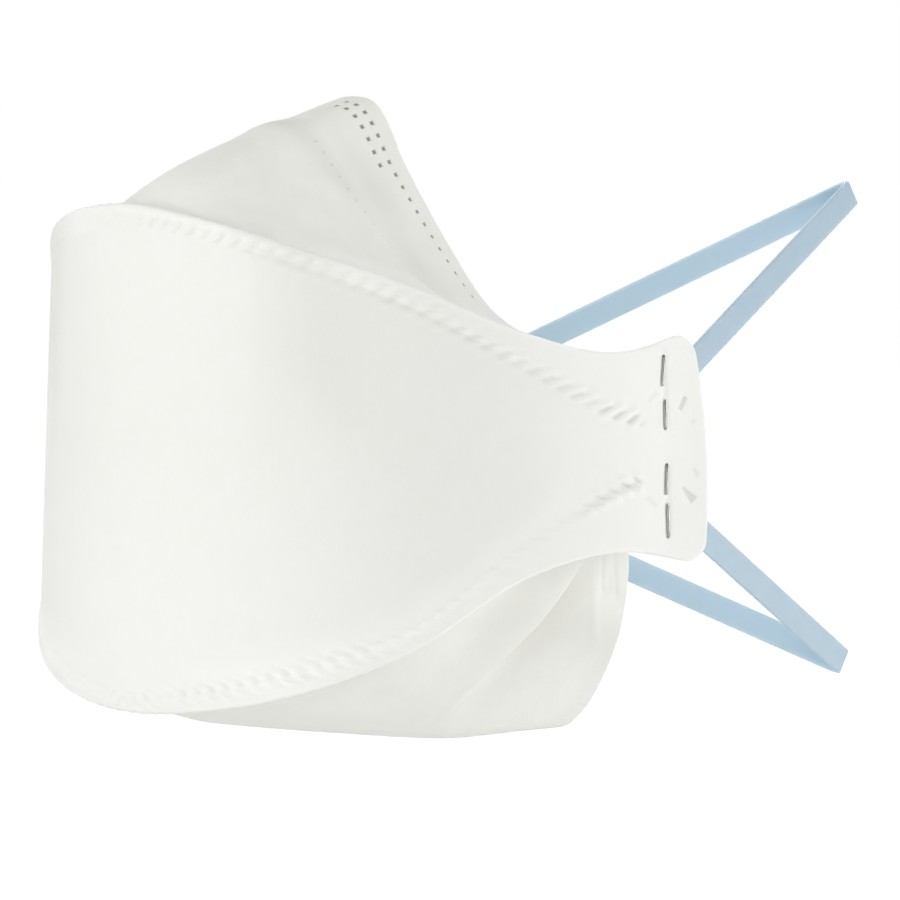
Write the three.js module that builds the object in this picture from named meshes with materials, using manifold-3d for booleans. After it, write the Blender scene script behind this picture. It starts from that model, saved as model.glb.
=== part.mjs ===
// Flat-fold dust mask: three nonwoven panels welded into a cup, with two flat elastic headbands stapled to its ear
// tabs. It is opened as it is worn, with the headbands drawn back behind it.
//
// Millimetres. +Z is up, the wearer looks along -Y, and +X is the wearer's left. The origin lies midway between the
// staples of the two ear tabs, in the hollow where the face goes.

import * as THREE from "three";
import { mergeVertices } from "three/addons/utils/BufferGeometryUtils.js";
import Module from "manifold-3d";

const wasm = await Module();
wasm.setup();

const { clamp, lerp, smoothstep } = THREE.MathUtils;

// ---------------------------------------------------------------- driving dimensions

const WALL = 1.6; // filter laminate of the front panel
const SOFT_WALL = 1.4; // lighter laminate of the nose and chin panels
const GAP = 0.3; // air between pieces that touch

// The front panel in plan: a half circle about the mouth, then ear tabs that curl back outwards.
const FRONT_RADIUS = 63;
const BEND_LENGTH = (Math.PI / 2) * FRONT_RADIUS; // outer face from the nose line to the end of the half circle
const TAB_RADIUS = 63;
const HALF_LENGTH = 110; // outer face from the nose line to the end of a tab
const TAPER = 0.0006; // how much wider the panel grows, for each millimetre down

// The ear tab's end edge.
const TAB_HALF_HEIGHT = 20;
const TAB_CORNER = 4.5;
const TAB_BOW = 1.8; // how far the edge falls back from its middle to its corners

// The lips: the laminate folded on itself beyond each weld line.
const LIP_PUFF = 0.6; // how far a lip stands out from the face
const LIP_ROUND = 0.6;
const LIP_FADE = 20; // length over which a lip flattens, before the tab
const WELD_DEPTH = 0.5; // groove pressed into the face along a weld line
const WELD_HALF = 1.3;
const WELD_END = 94; // how far round the face the groove runs
const WELD_FADE = 4;

// Edges and weld lines of the front panel. along: from the nose line, round the face. The rest are heights.
const FRONT_PANEL = [
  { along: 0, topLip: 40.7, topWeld: 38.2, bottomWeld: -42.5, bottomLip: -45.4 },
  { along: 18, topLip: 39.0, topWeld: 36.0, bottomWeld: -39.9, bottomLip: -43.8 },
  { along: 36, topLip: 34.1, topWeld: 31.4, bottomWeld: -35.1, bottomLip: -39.7 },
  { along: 54, topLip: 27.9, topWeld: 24.8, bottomWeld: -28.5, bottomLip: -32.4 },
  { along: 72, topLip: 20.0, topWeld: 15.5, bottomWeld: -15.6, bottomLip: -21.3 },
  { along: 90, topLip: 16.5, topWeld: 6.3, bottomWeld: -6.5, bottomLip: -17.3 },
  { along: 110, topLip: 19.6, topWeld: 2.3, bottomWeld: -2.9, bottomLip: -20.7 },
];

// Free rims of the nose and chin panels. share: 0 at the nose line, 1 at the ear tab.
const NOSE_RIM = [
  { share: 0.0, x: 0.0, y: -13.5, z: 58.1 },
  { share: 0.06, x: 4.8, y: -13.5, z: 57.3 },
  { share: 0.12, x: 8.4, y: -13.5, z: 53.8 },
  { share: 0.22, x: 12.3, y: -13.3, z: 47.0 },
  { share: 0.34, x: 17.8, y: -12.7, z: 38.7 },
  { share: 0.44, x: 22.2, y: -11.9, z: 32.2 },
  { share: 0.55, x: 27.6, y: -10.6, z: 24.7 },
  { share: 0.63, x: 31.8, y: -9.6, z: 20.8 },
  { share: 0.7, x: 36.8, y: -8.0, z: 17.9 },
  { share: 0.82, x: 45.5, y: -7.0, z: 15.0 },
  { share: 0.92, x: 52.5, y: -6.8, z: 12.4 },
  { share: 1.0, x: 57.0, y: -7.2, z: 10.2 },
];
const CHIN_RIM = [
  { share: 0.0, x: 0.0, y: -3.5, z: -50.0 },
  { share: 0.22, x: 20.0, y: -3.0, z: -50.2 },
  { share: 0.4, x: 35.5, y: -2.5, z: -50.2 },
  { share: 0.47, x: 41.0, y: -2.0, z: -49.2 },
  { share: 0.53, x: 44.4, y: -1.3, z: -46.2 },
  { share: 0.6, x: 47.3, y: -0.6, z: -41.8 },
  { share: 0.7, x: 50.7, y: 0.3, z: -34.0 },
  { share: 0.79, x: 52.6, y: 0.5, z: -26.6 },
  { share: 0.88, x: 53.4, y: 0.2, z: -18.6 },
  { share: 1.0, x: 57.0, y: -5.8, z: -10.2 },
];
const SEAM_END = 92; // how far round the face the two panels are welded on

// Staples: standard office wire.
const STAPLE_ALONG = 101.5;
const STAPLE_HEIGHT = 9.2;
const STAPLE_CROWN = 12.7;
const STAPLE_LEG = 5; // length of leg that shows, clinched flat on the outer face
const STAPLE_WIRE = 0.33; // radius
const STAPLE_BEND = 0.7;

// Headbands: flat elastic. height: where each one lies under its tab. turn: where it turns back on itself, behind the
// head. Its left half runs there straight. Its right half starts level and then runs straight too, on a line that
// passes the staple by aimOff.
const BAND_WIDTH = 4.8;
const BAND_THICK = 1.0;
const BAND_EDGE = 0.25; // chamfer
const TURN_RADIUS = 1.6;
const BANDS = {
  upper: { height: STAPLE_HEIGHT, turn: new THREE.Vector3(0, 112.4, 36.6), aimOff: -28.5 },
  lower: { height: -10.3, turn: new THREE.Vector3(0, 110.7, -52.8), aimOff: 14 },
};

// ---------------------------------------------------------------- curves and tables

// One column of a table at a given place, on a smooth curve through its rows. The curve leaves the first row level,
// because the two halves of the mask meet there.
function readColumn(rows, key, column, at) {
  const last = rows.length - 1;
  let i = 0;
  while (i < last - 1 && at > rows[i + 1][key]) i += 1;
  const slope = (k) => {
    if (k === 0) return 0;
    const before = rows[k - 1];
    const after = rows[Math.min(k + 1, last)];
    return (after[column] - before[column]) / (after[key] - before[key]);
  };
  const [a, b] = [rows[i], rows[i + 1]];
  const step = b[key] - a[key];
  const t = clamp((at - a[key]) / step, 0, 1);
  const rise = t * t * (3 - 2 * t);
  const startPull = t * (1 - t) ** 2;
  const endPull = t * t * (t - 1);
  return a[column] + (b[column] - a[column]) * rise + step * (startPull * slope(i) + endPull * slope(i + 1));
}

// The front panel's outer face in plan: a point, and the direction that faces outwards. Negative is the right side.
function planAt(along) {
  const side = Math.sign(along) || 1;
  const s = Math.abs(along);
  const bend = Math.min(s, BEND_LENGTH) / FRONT_RADIUS;
  const turn = bend - Math.max(0, s - BEND_LENGTH) / TAB_RADIUS;
  const facing = (angle) => new THREE.Vector2(Math.sin(angle), -Math.cos(angle));
  const point = facing(bend).multiplyScalar(FRONT_RADIUS);
  if (s > BEND_LENGTH) point.addScaledVector(facing(bend), TAB_RADIUS).addScaledVector(facing(turn), -TAB_RADIUS);
  return { x: side * point.x, y: point.y, outX: side * facing(turn).x, outY: facing(turn).y };
}

const STAPLE_LINE = planAt(STAPLE_ALONG).y; // the staples lie on y = 0

// A point of the front panel: round the face, up it, and out from it.
function facePoint(along, height, out) {
  const nearEnd = smoothstep(Math.abs(along), BEND_LENGTH, HALF_LENGTH);
  const fallBack = TAB_BOW * nearEnd * (height / TAB_HALF_HEIGHT) ** 2;
  const plan = planAt(along - Math.sign(along) * fallBack);
  const widen = 1 - TAPER * height;
  return new THREE.Vector3(
    plan.x * widen + plan.outX * out,
    plan.y * widen + plan.outY * out - STAPLE_LINE,
    height,
  );
}

// ---------------------------------------------------------------- meshes

function geometryOf(points, triangles) {
  const geometry = new THREE.BufferGeometry();
  geometry.setAttribute("position", new THREE.Float32BufferAttribute(points.flatMap((p) => p.toArray()), 3));
  geometry.setIndex(triangles);
  return geometry;
}

// A wall between two grids of points with equal rows and columns, closed along its four edges.
function shell(outer, inner) {
  const rows = outer.length;
  const columns = outer[0].length;
  const triangles = [];
  const quad = (a, b, c, d) => triangles.push(a, b, c, a, c, d);
  const o = (i, j) => i * columns + j;
  const n = (i, j) => (rows + i) * columns + j;
  for (let i = 0; i < rows - 1; i += 1) {
    for (let j = 0; j < columns - 1; j += 1) {
      quad(o(i, j), o(i + 1, j), o(i + 1, j + 1), o(i, j + 1));
      quad(n(i, j), n(i, j + 1), n(i + 1, j + 1), n(i + 1, j));
    }
    quad(o(i, 0), n(i, 0), n(i + 1, 0), o(i + 1, 0));
    quad(o(i, columns - 1), o(i + 1, columns - 1), n(i + 1, columns - 1), n(i, columns - 1));
  }
  for (let j = 0; j < columns - 1; j += 1) {
    quad(o(0, j), o(0, j + 1), n(0, j + 1), n(0, j));
    quad(o(rows - 1, j), n(rows - 1, j), n(rows - 1, j + 1), o(rows - 1, j + 1));
  }
  return geometryOf([...outer.flat(), ...inner.flat()], triangles);
}

// A rod through stations {centre, along, out}. Its section is given as pairs [across, out].
function sweep(stations, section) {
  const points = stations.flatMap(({ centre, along, out }) => {
    const across = out.clone().cross(along).normalize();
    const square = along.clone().cross(across).normalize();
    return section.map(([a, b]) => centre.clone().addScaledVector(across, a).addScaledVector(square, b));
  });
  const sides = section.length;
  const triangles = [];
  for (let i = 0; i < stations.length - 1; i += 1) {
    for (let j = 0; j < sides; j += 1) {
      const next = (j + 1) % sides;
      const [a, b, c, d] = [i * sides + j, (i + 1) * sides + j, (i + 1) * sides + next, i * sides + next];
      triangles.push(a, c, b, a, d, c);
    }
  }
  const end = (stations.length - 1) * sides;
  for (let j = 1; j < sides - 1; j += 1) {
    triangles.push(0, j + 1, j);
    triangles.push(end, end + j, end + j + 1);
  }
  return geometryOf(points, triangles);
}

function solidOf(geometry) {
  const { attributes, index } = mergeVertices(geometry);
  const [vertProperties, triVerts] = [attributes.position.array, new Uint32Array(index.array)];
  return new wasm.Manifold(new wasm.Mesh({ numProp: 3, vertProperties, triVerts }));
}

function geometryFromSolid(solid) {
  const { vertProperties, triVerts } = solid.getMesh();
  const geometry = new THREE.BufferGeometry();
  geometry.setAttribute("position", new THREE.BufferAttribute(vertProperties, 3));
  geometry.setIndex(new THREE.BufferAttribute(triVerts, 1));
  return geometry;
}

// ---------------------------------------------------------------- front panel

const BODY_STEPS = 20; // sections from the nose line to the start of a tab
const TAB_STEPS = 4;
const CORNER_STEPS = 3;
const BODY_ROWS = 5; // rows of the face between its two weld lines

// Places round the face where the front panel's section is taken, from the right tab's end to the left one's.
function faceStations() {
  const half = [];
  const cornerStart = HALF_LENGTH - TAB_CORNER;
  for (let i = 0; i <= BODY_STEPS; i += 1) half.push(lerp(0, BEND_LENGTH, i / BODY_STEPS));
  for (let i = 1; i <= TAB_STEPS; i += 1) half.push(lerp(BEND_LENGTH, cornerStart, i / TAB_STEPS));
  for (let i = 1; i <= CORNER_STEPS; i += 1) {
    half.push(cornerStart + TAB_CORNER * Math.sin((Math.PI / 2) * (i / CORNER_STEPS)));
  }
  return [...half.slice(1).reverse().map((s) => -s), ...half];
}

// A lip's section, from its folded edge to the face: rows {height, outer, inner}. up is 1 on the top lip.
function lipRows(lip, weld, up, { puff, groove }) {
  const middle = lerp(lip, weld, 0.45);
  return [
    { height: lip, outer: -LIP_ROUND, inner: LIP_ROUND - WALL },
    { height: lip - up * LIP_ROUND, outer: puff / 2, inner: -WALL },
    { height: middle, outer: puff, inner: -WALL },
    { height: weld, outer: -groove, inner: -WALL },
    { height: weld - up * WELD_HALF, outer: 0, inner: -WALL },
  ];
}

// The section up the front panel at one place, from the bottom lip to the top one.
function faceRows(along) {
  const s = Math.abs(along);
  const column = (name) => readColumn(FRONT_PANEL, "along", name, s);
  const intoCorner = Math.max(0, s - (HALF_LENGTH - TAB_CORNER));
  const cornerDrop = TAB_CORNER - Math.sqrt(Math.max(0, TAB_CORNER ** 2 - intoCorner ** 2));
  const relief = {
    puff: LIP_PUFF * (1 - smoothstep(s, BEND_LENGTH - LIP_FADE, BEND_LENGTH)),
    groove: WELD_DEPTH * (1 - smoothstep(s, WELD_END, WELD_END + WELD_FADE)),
  };
  const bottom = lipRows(column("bottomLip") + cornerDrop, column("bottomWeld"), -1, relief);
  const top = lipRows(column("topLip") - cornerDrop, column("topWeld"), 1, relief);
  const [low, high] = [bottom.at(-1).height, top.at(-1).height];
  const body = Array.from({ length: BODY_ROWS }, (_, k) => (
    { height: lerp(low, high, (k + 1) / (BODY_ROWS + 1)), outer: 0, inner: -WALL }
  ));
  return [...bottom, ...body, ...top.reverse()];
}

function frontPanelGeometry() {
  const sections = faceStations().map((along) => ({ along, rows: faceRows(along) }));
  const grid = (face) => sections.map(({ along, rows }) => rows.map((row) => facePoint(along, row.height, row[face])));
  const holes = STAPLES.flatMap(({ side, height }) => stapleHoles(side, height));
  const solid = holes.reduce((rest, hole) => rest.subtract(solidOf(hole)), solidOf(shell(grid("outer"), grid("inner"))));
  return geometryFromSolid(solid);
}

// ---------------------------------------------------------------- nose and chin panels

const SOFT_COLUMNS = 24; // each side of the nose line
const SOFT_ROWS = 12;
const SEAM_CROWDING = 1.5; // rows lie closer together near the seam, where a panel turns most

// A point of a free rim. Its distance from the nose line leaves the first row at full slope, not level.
function rimPoint(rim, share) {
  const s = Math.abs(share);
  const first = rim[1].share;
  const reachingBack = [{ share: -first, x: -rim[1].x }, ...rim];
  const shifted = reachingBack.map((row) => ({ share: row.share + first, x: row.x }));
  const across = readColumn(shifted, "share", "x", s + first);
  return new THREE.Vector3(
    Math.sign(share) * across,
    readColumn(rim, "share", "y", s),
    readColumn(rim, "share", "z", s),
  );
}

// A soft panel's outer face as a grid, from its seam behind the front panel's weld line to its free rim.
function softGrid({ weld, seamOff, rim, shape }) {
  const grid = [];
  for (let i = -SOFT_COLUMNS; i <= SOFT_COLUMNS; i += 1) {
    const share = i / SOFT_COLUMNS;
    const along = share * SEAM_END;
    const height = readColumn(FRONT_PANEL, "along", weld, Math.abs(along)) + seamOff;
    const seam = facePoint(along, height, -(WALL + GAP));
    const edge = rimPoint(rim, share);
    const row = [];
    for (let j = 0; j <= SOFT_ROWS; j += 1) {
      const v = (j / SOFT_ROWS) ** SEAM_CROWDING;
      row.push(seam.clone().lerp(edge, v).add(shape(share, v, edge.z - seam.z)));
    }
    grid.push(row);
  }
  return grid;
}

// The grid moved inwards by the wall's thickness. facing is 1 where the grid's own normals point outwards.
function innerGrid(grid, facing) {
  const rows = grid.length;
  const columns = grid[0].length;
  return grid.map((row, i) =>
    row.map((point, j) => {
      const along = grid[Math.min(i + 1, rows - 1)][j].clone().sub(grid[Math.max(i - 1, 0)][j]);
      const across = row[Math.min(j + 1, columns - 1)].clone().sub(row[Math.max(j - 1, 0)]);
      return point.clone().addScaledVector(along.cross(across).normalize(), -facing * SOFT_WALL);
    }),
  );
}

// A smooth swelling of height 1, centred on at.
function swell(value, at, halfWidth) {
  return Math.exp(-(((value - at) / halfWidth) ** 2));
}

// The nose panel rises behind the top lip, then runs back to the bridge of the nose. A low ridge and then a shallow
// channel run along it beside the rim. v: 0 at the seam, 1 at the rim.
const NOSE_RISE = { height: 6, start: 0.05, spread: 0.45 };
const NOSE_RIDGE = { at: 0.65, halfWidth: 0.07, height: 1.0 };
const NOSE_CHANNEL = { at: 0.77, halfWidth: 0.08, depth: 1.0 };

function nosePanelShape(share, v) {
  const s = Math.abs(share);
  const fade = 1 - smoothstep(s, 0, NOSE_RISE.spread);
  const rise = NOSE_RISE.height * (1 - v ** 1.5) * (1 - Math.exp(-v / NOSE_RISE.start)) * fade;
  const ridge = NOSE_RIDGE.height * swell(v, NOSE_RIDGE.at, NOSE_RIDGE.halfWidth);
  const channel = NOSE_CHANNEL.depth * swell(v, NOSE_CHANNEL.at, NOSE_CHANNEL.halfWidth);
  const out = (ridge - channel) * (1 - smoothstep(s, 0.6, 0.85));
  const lean = smoothstep(s, 0, 0.2); // the panel faces up at the nose line and outwards beside it
  return new THREE.Vector3(Math.sign(share) * out * 0.75 * lean, 0, rise + out * (1 - 0.35 * lean));
}

// The chin panel drops behind the bottom lip and runs back level under the chin. Each of its sides keeps a soft fold
// line along its middle, from the ear tab forwards, with a hollow before it and a deeper one behind it.
const CHIN_FOLDS = [
  { at: 0.26, halfWidth: 0.1, out: -0.8 },
  { at: 0.45, halfWidth: 0.07, out: 1.3 },
  { at: 0.6, halfWidth: 0.11, out: -2.2 },
];

function chinPanelShape(share, v, fall) {
  const s = Math.abs(share);
  const under = 1 - smoothstep(s, 0.4, 0.66);
  const level = 1 - (1 - Math.min(1, v / (0.42 + 0.5 * s))) ** 2;
  const fade = smoothstep(s, 0.34, 0.56) * (1 - smoothstep(s, 0.8, 0.95));
  const out = fade * CHIN_FOLDS.reduce((sum, fold) => sum + fold.out * swell(v, fold.at, fold.halfWidth), 0);
  return new THREE.Vector3(Math.sign(share) * out * 0.8, 0, fall * (level - v) * under - out * 0.6);
}

function nosePanelGeometry() {
  const outer = softGrid({ weld: "topWeld", seamOff: -0.6, rim: NOSE_RIM, shape: nosePanelShape });
  return shell(outer, innerGrid(outer, 1));
}

function chinPanelGeometry() {
  const outer = softGrid({ weld: "bottomWeld", seamOff: 0.6, rim: CHIN_RIM, shape: chinPanelShape });
  const flip = (grid) => grid.map((row) => [...row].reverse());
  return shell(flip(outer), flip(innerGrid(outer, -1)));
}

// ---------------------------------------------------------------- staples

const STAPLES = [
  { name: "upper_left_staple", side: 1, height: STAPLE_HEIGHT },
  { name: "lower_left_staple", side: 1, height: -STAPLE_HEIGHT },
  { name: "upper_right_staple", side: -1, height: STAPLE_HEIGHT },
  { name: "lower_right_staple", side: -1, height: -STAPLE_HEIGHT },
];
const WIRE_SIDES = 6;
const BEND_STEPS = 3;

// The wire's middle line: crown inside over the band, legs through the tab and clinched towards each other outside.
function stapleLine(side, height) {
  const outer = STAPLE_WIRE + GAP;
  const inner = -(WALL + BAND_THICK + 3 * GAP + STAPLE_WIRE);
  const half = STAPLE_CROWN / 2;
  const corners = [
    [half - STAPLE_LEG, outer],
    [half, outer],
    [half, inner],
    [-half, inner],
    [-half, outer],
    [STAPLE_LEG - half, outer],
  ].map(([up, out]) => facePoint(side * STAPLE_ALONG, height, out).setZ(height + up));
  const line = [corners[0]];
  for (let i = 1; i < corners.length - 1; i += 1) {
    const [before, corner, after] = corners.slice(i - 1, i + 2);
    const enter = corner.clone().add(before.clone().sub(corner).setLength(STAPLE_BEND));
    const leave = corner.clone().add(after.clone().sub(corner).setLength(STAPLE_BEND));
    line.push(...new THREE.QuadraticBezierCurve3(enter, corner, leave).getPoints(BEND_STEPS));
  }
  return [...line, corners.at(-1)];
}

function stapleGeometry(side, height) {
  const line = stapleLine(side, height);
  const plan = planAt(side * STAPLE_ALONG);
  const out = new THREE.Vector3(-plan.outY, plan.outX, 0); // square to the plane that the wire lies in
  const stations = line.map((centre, i) => {
    const ahead = line[Math.min(i + 1, line.length - 1)];
    const behind = line[Math.max(i - 1, 0)];
    return { centre, along: ahead.clone().sub(behind).normalize(), out };
  });
  const section = Array.from({ length: WIRE_SIDES }, (_, k) => {
    const angle = (2 * Math.PI * k) / WIRE_SIDES;
    return [STAPLE_WIRE * Math.cos(angle), STAPLE_WIRE * Math.sin(angle)];
  });
  return sweep(stations, section);
}

// The holes that a staple's legs pass through.
function stapleHoles(side, height) {
  const plan = planAt(side * STAPLE_ALONG);
  const out = new THREE.Vector3(plan.outX, plan.outY, 0);
  return [1, -1].map((end) => {
    const radius = STAPLE_WIRE + GAP;
    const centre = facePoint(side * STAPLE_ALONG, height, -WALL / 2).setZ(height + (end * STAPLE_CROWN) / 2);
    const hole = new THREE.CylinderGeometry(radius, radius, 4 * WALL, 8);
    hole.deleteAttribute("normal");
    hole.deleteAttribute("uv");
    hole.applyQuaternion(new THREE.Quaternion().setFromUnitVectors(new THREE.Vector3(0, 1, 0), out));
    return hole.translate(centre.x, centre.y, centre.z);
  });
}

// ---------------------------------------------------------------- headbands

const TURN_STEPS = 5;
const BEND_SHARE = 0.08; // share of a half's length in which it bends away from its tab
const BEND_RISE_STEPS = 5;
const RUN_STEPS = 14;
const AIM_SHARE = 0.46; // share of the right half's length by which it is on its line

// The middle line of one half past its bend, in plan straight from where it leaves the tab to the turn.
function runPoint(side, leave, { turn, aimOff }, share) {
  const point = leave.clone().lerp(turn, share);
  if (side < 0) point.z += aimOff * (1 - share) * smoothstep(share, 0, AIM_SHARE);
  return point;
}

// Stations of one half, from its end under the tab to where it starts to turn: {centre, along, out}.
function bandHalf(side, band, turnStart, turnOut) {
  const underTab = (along) => (
    facePoint(side * along, band.height, -(WALL + GAP + BAND_THICK / 2)).setZ(band.height)
  );
  const first = underTab(STAPLE_ALONG - 3);
  const leave = underTab(STAPLE_ALONG + 2.5);
  const tabward = leave.clone().sub(first).normalize();
  const plan = planAt(side * STAPLE_ALONG);
  const tabOut = new THREE.Vector3(plan.outX, plan.outY, 0);
  const straight = { ...band, turn: turnStart };
  const onRun = (share) => runPoint(side, leave, straight, share);
  const ahead = onRun(BEND_SHARE + 0.01).sub(onRun(BEND_SHARE)).normalize();
  const reach = onRun(BEND_SHARE).distanceTo(leave) / 2.5;
  const bend = new THREE.CubicBezierCurve3(
    leave,
    leave.clone().addScaledVector(tabward, reach),
    onRun(BEND_SHARE).addScaledVector(ahead, -reach),
    onRun(BEND_SHARE),
  );
  const line = bend.getPoints(BEND_RISE_STEPS);
  for (let i = 1; i <= RUN_STEPS; i += 1) line.push(onRun(lerp(BEND_SHARE, 1, i / RUN_STEPS)));
  const stations = line.map((centre, i) => {
    const before = line[Math.max(0, i - 1)];
    const after = line[Math.min(line.length - 1, i + 1)];
    const out = tabOut.clone().lerp(turnOut, smoothstep(i, 0, line.length - 1)).normalize();
    return { centre, along: after.clone().sub(before).normalize(), out };
  });
  return [{ centre: first, along: tabward, out: tabOut }, ...stations];
}

// The direction in which one half comes to the turn.
function arrival(side, band) {
  const leave = facePoint(side * STAPLE_ALONG, band.height, 0);
  return band.turn.clone().sub(runPoint(side, leave, band, AIM_SHARE)).normalize();
}

function bandGeometry(band) {
  const [left, right] = [arrival(1, band), arrival(-1, band)];
  const axis = right.clone().cross(left).normalize();
  const back = left.clone().add(right).normalize();
  const lateral = back.clone().cross(axis);
  const outAt = (angle) => lateral.clone().multiplyScalar(Math.cos(angle)).addScaledVector(back, Math.sin(angle));
  const middle = band.turn.clone().addScaledVector(back, -TURN_RADIUS);
  const turnAt = (angle) => middle.clone().addScaledVector(outAt(angle), TURN_RADIUS);
  const start = left.angleTo(back);
  const end = Math.PI - start;
  const turning = Array.from({ length: TURN_STEPS - 1 }, (_, k) => {
    const angle = lerp(start, end, (k + 1) / TURN_STEPS);
    return { centre: turnAt(angle), along: axis.clone().cross(outAt(angle)), out: outAt(angle) };
  });
  const returning = bandHalf(-1, band, turnAt(end), outAt(end))
    .reverse()
    .map(({ centre, along, out }) => ({ centre, along: along.clone().negate(), out }));
  const [w, h, c] = [BAND_WIDTH / 2, BAND_THICK / 2, BAND_EDGE];
  const section = [
    [-w, c - h], [c - w, -h], [w - c, -h], [w, c - h],
    [w, h - c], [w - c, h], [c - w, h], [-w, h - c],
  ];
  return sweep([...bandHalf(1, band, turnAt(start), outAt(start)), ...turning, ...returning], section);
}

// ---------------------------------------------------------------- assembly

const laminate = new THREE.MeshStandardMaterial({ color: 0xf1f2ed, roughness: 0.9, metalness: 0 });
const cover = new THREE.MeshStandardMaterial({ color: 0xe4e5df, roughness: 0.9, metalness: 0 });
const elastic = new THREE.MeshStandardMaterial({ color: 0xb2c8d8, roughness: 0.6, metalness: 0 });
const steel = new THREE.MeshStandardMaterial({ color: 0x9a9c98, roughness: 0.35, metalness: 1 });

const mask = new THREE.Group();

function addPiece(name, geometry, material) {
  const piece = new THREE.Mesh(geometry, material);
  piece.name = name;
  mask.add(piece);
}

addPiece("front_panel", frontPanelGeometry(), laminate);
addPiece("nose_panel", nosePanelGeometry(), cover);
addPiece("chin_panel", chinPanelGeometry(), cover);
addPiece("upper_headband", bandGeometry(BANDS.upper), elastic);
addPiece("lower_headband", bandGeometry(BANDS.lower), elastic);
for (const { name, side, height } of STAPLES) addPiece(name, stapleGeometry(side, height), steel);

export default mask;
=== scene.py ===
import math

import bpy
import numpy as np
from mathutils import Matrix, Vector


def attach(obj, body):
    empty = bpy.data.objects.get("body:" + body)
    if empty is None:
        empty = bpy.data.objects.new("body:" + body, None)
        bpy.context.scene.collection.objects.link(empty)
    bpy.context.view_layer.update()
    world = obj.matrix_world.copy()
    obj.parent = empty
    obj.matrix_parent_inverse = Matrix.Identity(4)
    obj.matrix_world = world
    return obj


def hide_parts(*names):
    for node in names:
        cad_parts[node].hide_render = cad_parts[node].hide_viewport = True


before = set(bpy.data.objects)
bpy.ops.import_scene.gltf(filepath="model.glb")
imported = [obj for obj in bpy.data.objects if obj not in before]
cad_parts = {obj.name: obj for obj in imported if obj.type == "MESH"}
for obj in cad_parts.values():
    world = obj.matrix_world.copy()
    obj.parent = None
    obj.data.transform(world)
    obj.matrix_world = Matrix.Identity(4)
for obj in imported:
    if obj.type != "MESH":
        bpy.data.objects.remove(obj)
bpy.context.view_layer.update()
MM = 0.001  # a millimetre, in metres

# ---------------------------------------------------------------- Studio
# The mask is held up as a face would hold it, well above a plain floor that pales with distance. Six broad soft
# lights stand round and over it. A backdrop of white paper closes the view behind, and is only seen: it throws no
# light on the mask.

CAMERA_AZIMUTH = math.radians(47)
CAMERA_ELEVATION = math.radians(5.5)
CAMERA_DISTANCE = 1.0
CAMERA_LENS = 226  # mm, on a 36 mm sensor
CAMERA_AIM = Vector((6.0, 3.2, -4.8)) * MM
FLOOR_HEIGHT = -0.4
FLOOR_SIZE = 60
FLOOR_NEAR, FLOOR_FAR = 0.7, 1.8  # distances between which the floor pales
FLOOR_GLOW = 1.0
BACKDROP_RADIUS = 9
BACKDROP_GRADE = (0.35, 1.1)  # heights above the floor between which it turns from white to pale grey
BACKDROP_GLOW = 0.72
WORLD_STRENGTH = 0.02
LIGHT_DISTANCE = 1.6
LIGHT_SIZE = 1.0
SOFT_LIGHTS = [
    # name, azimuth and elevation in degrees, power in watts
    ("front_light", -10, 8, 7.1),
    ("side_light", 50, 8, 5.6),
    ("ear_light", 140, 8, 13.1),
    ("back_light", 236, 10, 9.7),
    ("high_light", -20, 45, 5.4),
    ("top_light", 0, 88, 12.6),
]


def direction(azimuth, elevation):
    """The unit vector from the mask towards a place in the studio. Azimuth 0 is in front of the wearer."""
    level = math.cos(elevation)
    return Vector((math.sin(azimuth) * level, -math.cos(azimuth) * level, math.sin(elevation)))


def facing(away):
    """The rotation of a camera or lamp that looks back along a direction."""
    return away.to_track_quat("Z", "Y").to_euler()


def linear(colour):
    """An sRGB colour written as hex, in the linear values that colour sockets take."""
    parts = [int(colour[i : i + 2], 16) / 255 for i in (1, 3, 5)]
    return (*[c / 12.92 if c <= 0.04045 else ((c + 0.055) / 1.055) ** 2.4 for c in parts], 1.0)


def add_node(tree, kind, inputs=None, **settings):
    """Adds a shader node with its settings. Each named input takes a value, an output, or a node's first output."""
    new = tree.nodes.new("ShaderNode" + kind)
    for name, value in settings.items():
        setattr(new, name, value)
    for key, value in (inputs or {}).items():
        if isinstance(value, bpy.types.Node):
            value = value.outputs[0]
        if isinstance(value, bpy.types.NodeSocket):
            tree.links.new(value, new.inputs[key])
        else:
            new.inputs[key].default_value = value
    return new


def new_material(name):
    """An empty node material, and its tree."""
    material = bpy.data.materials.new(name)
    material.use_nodes = True
    material.node_tree.nodes.clear()
    return material, material.node_tree


def finish_material(tree, shader):
    """Lets a shader give the material its surface."""
    add_node(tree, "OutputMaterial", {"Surface": shader})


camera_away = direction(CAMERA_AZIMUTH, CAMERA_ELEVATION)
bpy.ops.object.camera_add(location=CAMERA_AIM + camera_away * CAMERA_DISTANCE, rotation=facing(camera_away))
camera = bpy.context.object
camera.name = "camera"
camera.data.lens = CAMERA_LENS
camera.data.clip_end = 2 * FLOOR_SIZE
bpy.context.scene.camera = camera
bpy.context.scene.view_settings.view_transform = "Standard"

bpy.ops.mesh.primitive_plane_add(size=FLOOR_SIZE, location=(0, 0, FLOOR_HEIGHT))
floor = bpy.context.object
floor.name = "floor"
bpy.ops.object.transform_apply(location=True)
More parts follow.
